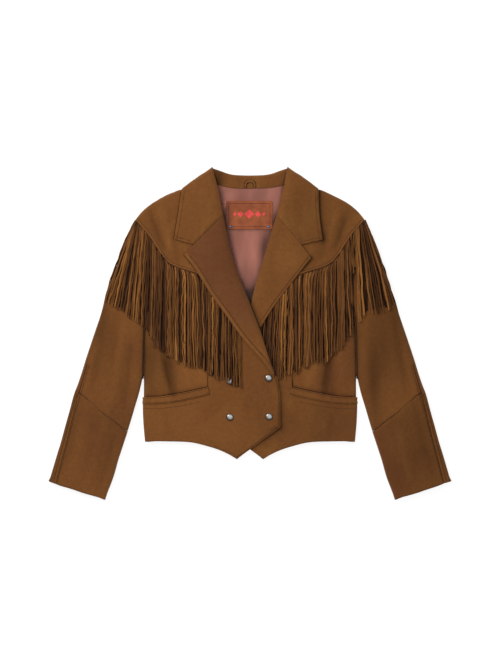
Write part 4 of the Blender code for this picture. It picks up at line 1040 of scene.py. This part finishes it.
def make_fringe(word, ground, covers, material):
    side = SIDES[word]
    rng = np.random.default_rng(FRINGE_SEEDS[word])
    table = fringe_table(side, word)
    vertices, faces, tones = parts = ([], [], [])
    root_band(table, ground, parts)
    for layer in STRAND_LAYERS:
        pitch = layer[0]
        count = int((len(table) - 2) / pitch)
        for strand in range(count):
            place = (strand + 0.5) * pitch + rng.uniform(-0.3, 0.3) * pitch
            add_strand(place, layer, table, ground, covers, rng, parts)
    item = mesh_object(f"fringe_{word}_strands", vertices, faces)
    outward = bmesh.new()
    outward.from_mesh(item.data)
    bmesh.ops.recalc_face_normals(outward, faces=outward.faces)
    outward.to_mesh(item.data)
    outward.free()
    item.data.set_sharp_from_angle(angle=SHARP_IN_STRANDS)
    carry(item, "tone", tones)
    return dress(item, [material], f"fringe_{word}")


# ---- snaps, rivets, loop and label ----

SNAP_PROFILE = [  # radius, height
    (7.3, 0.0), (7.5, 0.35), (7.4, 0.8), (7.05, 1.3), (6.4, 1.85), (5.4, 2.35), (4.2, 2.7), (2.9, 2.9),
    (1.4, 2.98), (0.0, 3.0),
]
RIVET_PROFILE = [(2.6, 0.0), (2.6, 0.35), (2.3, 0.7), (1.6, 1.02), (0.8, 1.17), (0.0, 1.2)]
LOOP_WIDE = 4.4
LOOP_THICK = 1.5
LOOP_SQUARE = 0.62  # the arch is squarer than a round one, which has 1


def lathe(name, node_name, profile, material, sides=40):
    """A domed cap over a solid, from its profile of radius and height."""
    low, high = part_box(node_name)
    x, y = (low[0] + high[0]) / 2, (low[1] + high[1]) / 2
    vertices = []
    for radius, height in profile[:-1]:
        for step in range(sides):
            turn = 2 * math.pi * step / sides
            across, along = radius * MM * math.cos(turn), radius * MM * math.sin(turn)
            vertices.append((x + across, y + along, low[2] + height * MM))
    vertices.append((x, y, low[2] + profile[-1][1] * MM))
    top = (len(profile) - 2) * sides
    faces = ring_faces(0, len(profile) - 1, sides)
    faces += [(top + step, top + (step + 1) % sides, top + sides) for step in range(sides)]
    faces.append(tuple(reversed(range(sides))))
    return dress(mesh_object(name, vertices, faces), [material], node_name)


def tube(name, points, across, thick, sides=10):
    """A flat cord along points in millimetres."""
    vertices = []
    points = np.array(points)
    for point, way in zip(points, np.gradient(points, axis=0)):
        side = np.array([-way[1], way[0], 0.0])
        side /= np.linalg.norm(side)
        for step in range(sides):
            turn = 2 * math.pi * step / sides
            offset = side * across / 2 * math.cos(turn) + np.array([0, 0, 1]) * thick / 2 * math.sin(turn)
            vertices.append((point + offset) * MM)
    return mesh_object(name, vertices, swept_faces(0, len(points), sides))


def loop_arch(half, short, steps):
    """An arch with straight legs over the foot of the collar stand, and how far up each place is.

    It reaches this far to each side, and ends this much short of the solid's upper end.
    """
    low, high = box_mm("hanger_loop")
    middle, rise = (low[0] + high[0]) / 2, high[1] - low[1] - short
    points = []
    for turn in np.linspace(0.0, math.pi, steps):
        share = abs(math.sin(turn))
        aside = math.copysign(abs(math.cos(turn)) ** LOOP_SQUARE, math.cos(turn)) * half
        points.append((middle - aside, low[1] + rise * share ** LOOP_SQUARE, share))
    return points


def make_loop(material):
    low, high = box_mm("hanger_loop")
    rise = high[2] - low[2] - LOOP_THICK
    points = [(x, y, low[2] + LOOP_THICK / 2 + rise * share) for x, y, share in loop_arch(9.8, 2.4, 33)]
    dress(tube("hanger_loop_cord", points, LOOP_WIDE, LOOP_THICK), [material], "hanger_loop")


PATCH_GRID = (44, 28)
PATCH_CORNER = 3.2
PATCH_RIM = [(0.93, 0.07), (0.90, 0.10)]  # where its rim begins across and up, and how wide it is
PATCH_FALL = 0.55  # how far the rim falls
PATCH_SWELL = 0.22


def rounded(u, v, half_x, half_y, corner):
    """Maps a square grid to a rectangle with round corners."""
    x, y = u * half_x, v * half_y
    over_x, over_y = abs(x) - (half_x - corner), abs(y) - (half_y - corner)
    if over_x > 0 and over_y > 0:
        reach = max(over_x, over_y)
        length = math.hypot(over_x, over_y)
        x = math.copysign(half_x - corner + over_x / length * reach, x)
        y = math.copysign(half_y - corner + over_y / length * reach, y)
    return x, y


def make_label(material):
    low, high = box_mm("neck_label")
    centre, half = (low + high) / 2, (high - low) / 2
    columns, rows = PATCH_GRID
    vertices, faces = [], []
    for shell_z in ("top", "under"):
        for row in range(rows + 1):
            for column in range(columns + 1):
                u, v = 2 * column / columns - 1, 2 * row / rows - 1
                x, y = rounded(u, v, half[0], half[1], PATCH_CORNER)
                rim = max(max(abs(at) - start, 0) / reach for at, (start, reach) in zip((u, v), PATCH_RIM))
                z = high[2] - PATCH_FALL * rim ** 2 + PATCH_SWELL * math.sin(4 * u + 1.2) * math.cos(3 * v)
                if shell_z == "under":
                    z = low[2]
                vertices.append(np.array([centre[0] + x, centre[1] + y, z]) * MM)
    stride, under = columns + 1, (columns + 1) * (rows + 1)
    for row in range(rows):
        for column in range(columns):
            a = row * stride + column
            faces.append((a, a + 1, a + 1 + stride, a + stride))
            faces.append((under + a, under + a + stride, under + a + 1 + stride, under + a + 1))
    rim = list(range(columns))
    rim += [row * stride + columns for row in range(rows)]
    rim += [rows * stride + column for column in range(columns, 0, -1)]
    rim += [row * stride for row in range(rows, 0, -1)]
    for a, b in zip(rim, rim[1:] + rim[:1]):
        faces.append((a, under + a, under + b, b))
    item = mesh_object("neck_label_patch", vertices, faces)
    # painted shade on the patch's left side and its lower edge
    paint_nap_and_shade(item, read_points(item.data) / MM, "neck_label")
    item.data.set_sharp_from_angle(angle=SHARP_IN_PATCH)
    return dress(item, [material], "neck_label")


# Coral diamonds of the patch. Columns: distance from its centre, half width, half height.
DIAMONDS = [(0.0, 10.5, 10.0), (-18.5, 6.5, 6.6), (18.5, 6.5, 6.6), (-30.5, 4.0, 4.2), (30.5, 4.0, 4.2)]


def make_diamonds(surface, material):
    low, high = box_mm("neck_label")
    centre = (low + high) / 2
    vertices, faces = [], []
    for aside, half_x, half_y in DIAMONDS:
        base = len(vertices)
        for scale, lift in ((1.0, 0.02), (0.86, 0.22)):
            for dx, dy in ((-1, 0), (0, -1), (1, 0), (0, 1)):
                x, y = centre[0] + aside + dx * half_x * scale, centre[1] + 2.0 + dy * half_y * scale
                vertices.append(np.array([x, y, surface.at(x, y, high[2]) + lift]) * MM)
        faces += [(base + c, base + (c + 1) % 4, base + 4 + (c + 1) % 4, base + 4 + c) for c in range(4)]
        faces.append((base + 4, base + 5, base + 6, base + 7))
    dress(mesh_object("neck_label_diamonds", vertices, faces, smooth=False), [material])


# ---- stitching ----

def leftward(line):
    """The way across a line at each of its places, to its left."""
    run = np.gradient(line, axis=0)
    run /= np.linalg.norm(run, axis=1)[:, None]
    return np.stack([-run[:, 1], run[:, 0]], axis=1)


def inset(points, amount, step=3.4):
    """A line beside another, on its left where amount is positive."""
    line = curve(points, step)
    return line + leftward(line) * amount


# A turned edge in section. Columns: share of its half width, share of its height, and the reading of
# the ground that it stands on.
BAND_PROFILE = [(-1.0, 0.0, 0), (-0.72, 1.0, 0), (0.0, 1.15, 1), (0.72, 1.0, 2), (1.0, 0.0, 2)]
BAND_RIM = 0.04  # its rim stays this far over the cloth
GROOVE_AND_SHADOW_LIFT = 0.07
THREAD_LIFT = 0.03
THREAD_KIND, GROOVE_AND_SHADOW_KIND, EDGE_KIND = 0, 1, 2  # places in a Stitching's list of materials


class Stitching:
    """Rows of thread laid in shallow grooves, and dark strips that paint shadow lines."""

    def __init__(self, name):
        self.name = name
        self.vertices, self.faces, self.kinds = [], [], []

    def quad(self, corners, kind):
        base = len(self.vertices)
        self.vertices += [tuple(np.array(corner) * MM) for corner in corners]
        self.faces.append(tuple(range(base, base + len(corners))))
        self.kinds.append(kind)

    def band(self, points, surface, width, lift, kind, step=4.0, taper=0.0):
        """A turned edge, lying on the cloth along a line; its end narrows over the length given."""
        line = curve(points, step)
        left = np.arange(len(line))[::-1] * step
        widths = width * np.clip(0.12 + left / taper, 0, 1) if taper else np.full(len(line), width)
        aside = leftward(line) * widths[:, None] / 2
        sections = []
        for place, off in zip(line, aside):
            z = [surface.at(*(place + off * share), default=-1.0) for share in (-0.9, 0.0, 0.9)]
            z = [max(z)] * 3 if min(z) < 0 else z
            sections.append([(*(place + off * share), z[spot] + max(BAND_RIM, lift * part))
                             for share, part, spot in BAND_PROFILE])
        for a, b in zip(sections, sections[1:]):
            if min(a[0][2], b[0][2]) < 0 or abs(a[2][2] - b[2][2]) > 2.0:
                continue
            for corner in range(4):
                self.quad((a[corner], b[corner], b[corner + 1], a[corner + 1]), kind)

    def row(self, points, surface, pitch=3.4, gauge=0.75, groove_and_shadow_line=1.5, thread=True):
        line = curve(points, pitch)
        heights = np.array([surface.at(x, y, -1.0) for x, y in line])
        aside = leftward(line)
        for a in range(len(line) - 1):
            b = a + 1
            if heights[a] < 0 or heights[b] < 0 or abs(heights[a] - heights[b]) > 1.5:
                continue
            self.groove_and_shadow_line(line, heights, aside, a, b, groove_and_shadow_line)
            if thread:
                self.dash(line, heights, aside, a, b, gauge)

    def groove_and_shadow_line(self, line, heights, aside, a, b, width):
        corners = []
        for place, sign in ((a, -1), (b, -1), (b, 1), (a, 1)):
            x, y = line[place] + aside[place] * width / 2 * sign
            corners.append((x, y, heights[place] + GROOVE_AND_SHADOW_LIFT))
        self.quad(corners, GROOVE_AND_SHADOW_KIND)

    def dash(self, line, heights, aside, a, b, gauge):
        ends = []
        for share in (0.12, 0.5, 0.88):
            x, y = line[a] + (line[b] - line[a]) * share
            z = heights[a] + (heights[b] - heights[a]) * share
            bulge = 1.0 if share == 0.5 else 0.35
            half = aside[a] * gauge / 2 * (0.7 + 0.3 * bulge)
            ends.append((np.array([x, y]), z, half, 0.1 + 0.35 * bulge))
        for (p, z, off, up), (q, z_next, off_next, up_next) in zip(ends, ends[1:]):
            low, low_next = z + THREAD_LIFT, z_next + THREAD_LIFT
            top, top_next = (*p, z + up), (*q, z_next + up_next)
            self.quad(((*(p - off), low), (*(q - off_next), low_next), top_next, top), THREAD_KIND)
            self.quad((top, top_next, (*(q + off_next), low_next), (*(p + off), low)), THREAD_KIND)

    def build(self, materials):
        item = dress(mesh_object(self.name, self.vertices, self.faces, smooth=False), materials)
        item.data.polygons.foreach_set("material_index", self.kinds)
        return item


LABEL_MARGIN = 5.5  # how far inside the patch its stitched frame runs
LABEL_CORNER = 6.0  # and how far the frame stays open at its two lower corners
FINE = {"gauge": 0.6, "groove_and_shadow_line": 1.0}


def make_neck_lines():
    """The stitched frame of the patch, and dark lines beside the loop that paint its shadow outlines."""
    frame_line = Stitching("label_stitching")
    low, high = box_mm("neck_label")
    (x_a, y_a), (x_b, y_b) = low[:2] + LABEL_MARGIN, high[:2] - LABEL_MARGIN
    cut = LABEL_CORNER
    for points in ([(x_a + cut, y_a), (x_b - cut, y_a)], [(x_b, y_a + cut), (x_b, y_b)],
                   [(x_b, y_b), (x_a, y_b)], [(x_a, y_b), (x_a, y_a + cut)]):
        frame_line.row(points, Surface([patch]), pitch=2.9, gauge=1.0, groove_and_shadow_line=0.4)
    frame_line.build((plain("label_thread", LABEL_THREAD), groove_and_shadow_line))
    # dark lines on both sides of the loop, painted as its shadow outlines
    loop_shadow_lines = Stitching("hanger_loop_shadow_lines")
    for half, short in ((12.4, 0.0), (7.0, 5.2)):
        arch = [(x, y) for x, y, _ in loop_arch(half, short, 13)]
        loop_shadow_lines.row(arch, over("collar_stand"), pitch=2.2, groove_and_shadow_line=1.3, thread=False)
    loop_shadow_lines.build((groove_and_shadow_line, groove_and_shadow_line))


def make_seam_work(word, side):
    """Topstitching, turned edges, seam lines and painted shadow lines of one side. Distances count from the
    line outwards.
    """
    kinds = "lapel collar yoke front pocket_welt upper_sleeve forearm forearm_back side_front"
    lapel, collar, yoke, front, welt, sleeve, forearm, strip, below = [
        over(f"{kind}_{word}") for kind in kinds.split()
    ]
    outer, fall = LAPEL_EDGE[word], COLLAR_EDGE[word][1:]

    def off(points, amount):
        return inset(placed(points, side), side * amount)

    turned = Stitching(f"collar_stitching_{word}")
    if word == "right":
        turned.band(off(outer, -4.0), lapel, 6.6, 0.45, EDGE_KIND, taper=26.0)
        turned.row(off(outer, -2.2)[1:], lapel)
        turned.row(off(outer + FRONT_EDGE[1:3], -7.9)[3:-3], over("lapel_right", "front_right"), groove_and_shadow_line=1.7)
    else:
        turned.row(off(outer, -5.6), lapel)
    turned.row(off(fall, -6.5), collar, **FINE)
    turned.row(off([fall[-1], NOTCH[word]], -6.0)[1:-2], collar, **FINE)
    neck = turned.build((thread, groove_and_shadow_line, edge_suede))

    body = Stitching(f"body_stitching_{word}")
    body.band(off(YOKE_SEAM, -1.1), yoke, 2.2, 0.2, EDGE_KIND)
    body.row(off(YOKE_SEAM, -3.3), yoke, pitch=3.0, gauge=0.6, groove_and_shadow_line=1.2)
    # painted shadow lines on the yoke beside the collar's and the lapel's edges
    body.row(off(fall, 0.6), yoke, groove_and_shadow_line=1.2, thread=False)
    body.row(off(outer[:4], 0.5), yoke, groove_and_shadow_line=1.1, thread=False)
    body.row(off(WELT_FOOT, 2.2), welt, **FINE)
    # dark lines along the welt's top paint the shade of the pocket mouth
    body.row(off(WELT_TOP, -2.0), welt, groove_and_shadow_line=0.8, thread=False)
    body.row(off(WELT_TOP, 1.0), below, groove_and_shadow_line=1.6, thread=False)
    body.row(off(WELT_FOOT[1:], -10.0), front, gauge=0.55, groove_and_shadow_line=0.8)
    armpit = over(f"side_front_{word}", f"upper_sleeve_{word}")
    # a dark strip painted as the shadow in the gap between sleeve and body
    body.band(placed(ARMHOLE[3:], side), armpit, 3.6, 0.05, GROOVE_AND_SHADOW_KIND)
    if word == "right":
        body.row(off(FRONT_EDGE, 3.2), front)
        body.row(off(FRONT_POINT, 3.2), front)
    trunk = body.build((thread, groove_and_shadow_line, edge_suede))

    arm = Stitching(f"sleeve_stitching_{word}")
    arm.row(off(BACK_SEAM, 5.2), strip, groove_and_shadow_line=0.9, thread=False)
    arm.row(off(BACK_SEAM, -2.6), forearm, gauge=0.6, groove_and_shadow_line=1.2)
    arm.row(placed(SLEEVE_SEAM, side), sleeve, groove_and_shadow_line=1.6, thread=False)
    arm.row(off(SLEEVE_SEAM, -4.6), sleeve)
    return {"lapel": [neck], "front": [trunk], "upper_sleeve": [arm.build((thread, groove_and_shadow_line, edge_suede))],
            "yoke": [fringes[word]]}


# ---- the jacket ----

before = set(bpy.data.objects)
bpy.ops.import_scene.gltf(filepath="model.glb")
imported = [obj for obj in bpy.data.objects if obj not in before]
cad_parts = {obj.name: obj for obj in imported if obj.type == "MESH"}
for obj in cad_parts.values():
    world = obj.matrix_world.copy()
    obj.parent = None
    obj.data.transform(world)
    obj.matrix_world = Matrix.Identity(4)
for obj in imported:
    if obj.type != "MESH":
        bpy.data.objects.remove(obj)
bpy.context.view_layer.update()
make_camera()
make_studio()

suede_body = suede("suede_body")
suede_sleeve = suede("suede_sleeve", gold=0.35, red=0.6, offset=3.1)
suede_collar = suede("suede_collar", gold=0.8, red=0.05, offset=5.3)
suede_lapel = suede("suede_lapel", base=SUEDE_LAPEL, gold=0.15, red=0.4, offset=7.7,
                    gold_below=(-0.035, 0.065))
suede_facing = suede("suede_facing", gold=0.6, red=0.15, offset=9.2)
suede_back = suede("suede_back", offset=11.3)
strands = fringe_suede("fringe_strands")

SHELL_LEVELS = {"back": 2}
BARE = ("fringe", "snap", "label_rivet", "hanger", "neck_label")
shells = {}
for node_name in sorted(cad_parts):
    if not node_name.startswith(BARE):
        shells[node_name] = shell(node_name + "_cloth", node_name, SHELL_LEVELS.get(node_name, 3))
LOOKS = [
    ("upper_sleeve", suede_sleeve, "suede"), ("forearm", suede_sleeve, "suede"),
    ("collar_stand", suede_collar, "suede"), ("collar", suede_collar, "suede_turned"),
    ("yoke", suede_collar, "suede"), ("lapel_right", suede_lapel, "suede_turned"),
    ("lapel_left", suede_facing, "suede_turned"), ("back", suede_back, "suede"),
    ("neck_lining", satin("satin"), "satin"), ("", suede_body, "suede"),
]
for node_name, item in shells.items():
    _, material, slot = next(look for look in LOOKS if node_name.startswith(look[0]))
    dress(item, [material], node_name)

snap_metal = metal("snap_metal", SNAP_SILVER, 0.34, 0.12)
rivet_metal = metal("rivet_metal", RIVET_BLUE, 0.30, 0.30)
snaps = []
for node_name in sorted(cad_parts):
    if node_name.startswith("snap"):
        snaps.append(lathe(node_name + "_cap", node_name, SNAP_PROFILE, snap_metal))
    if node_name.startswith("label_rivet"):
        lathe(node_name + "_cap", node_name, RIVET_PROFILE, rivet_metal, sides=24)
make_loop(suede_collar)
patch = make_label(smooth_leather("patch_leather", PATCH))
make_diamonds(Surface([patch]), smooth_leather("patch_coral", CORAL))

fringes = {}
for word in SIDES:
    under = [shells[f"{kind}_{word}"] for kind in ("side_front", "front", "upper_sleeve")] + snaps
    covers = [(over("lapel_right"), LAPEL_PLY), (over("lapel_left"), LAPEL_PLY)]
    if word == "left":
        covers.append((over("front_right"), FRONT_PLY))
    fringes[word] = make_fringe(word, Surface(under), covers, strands)

thread = plain("thread", THREAD)
# Dark strips of the seam grooves, also laid as painted shadow lines.
groove_and_shadow_line = plain("groove_and_shadow_line", GROOVE_AND_SHADOW_DARK)
make_neck_lines()
edge_suede = suede("suede_edge", base=SUEDE_EDGE, gold=0.3, red=0.0, offset=13.1)
with_seams = {word: make_seam_work(word, side) for word, side in SIDES.items()}
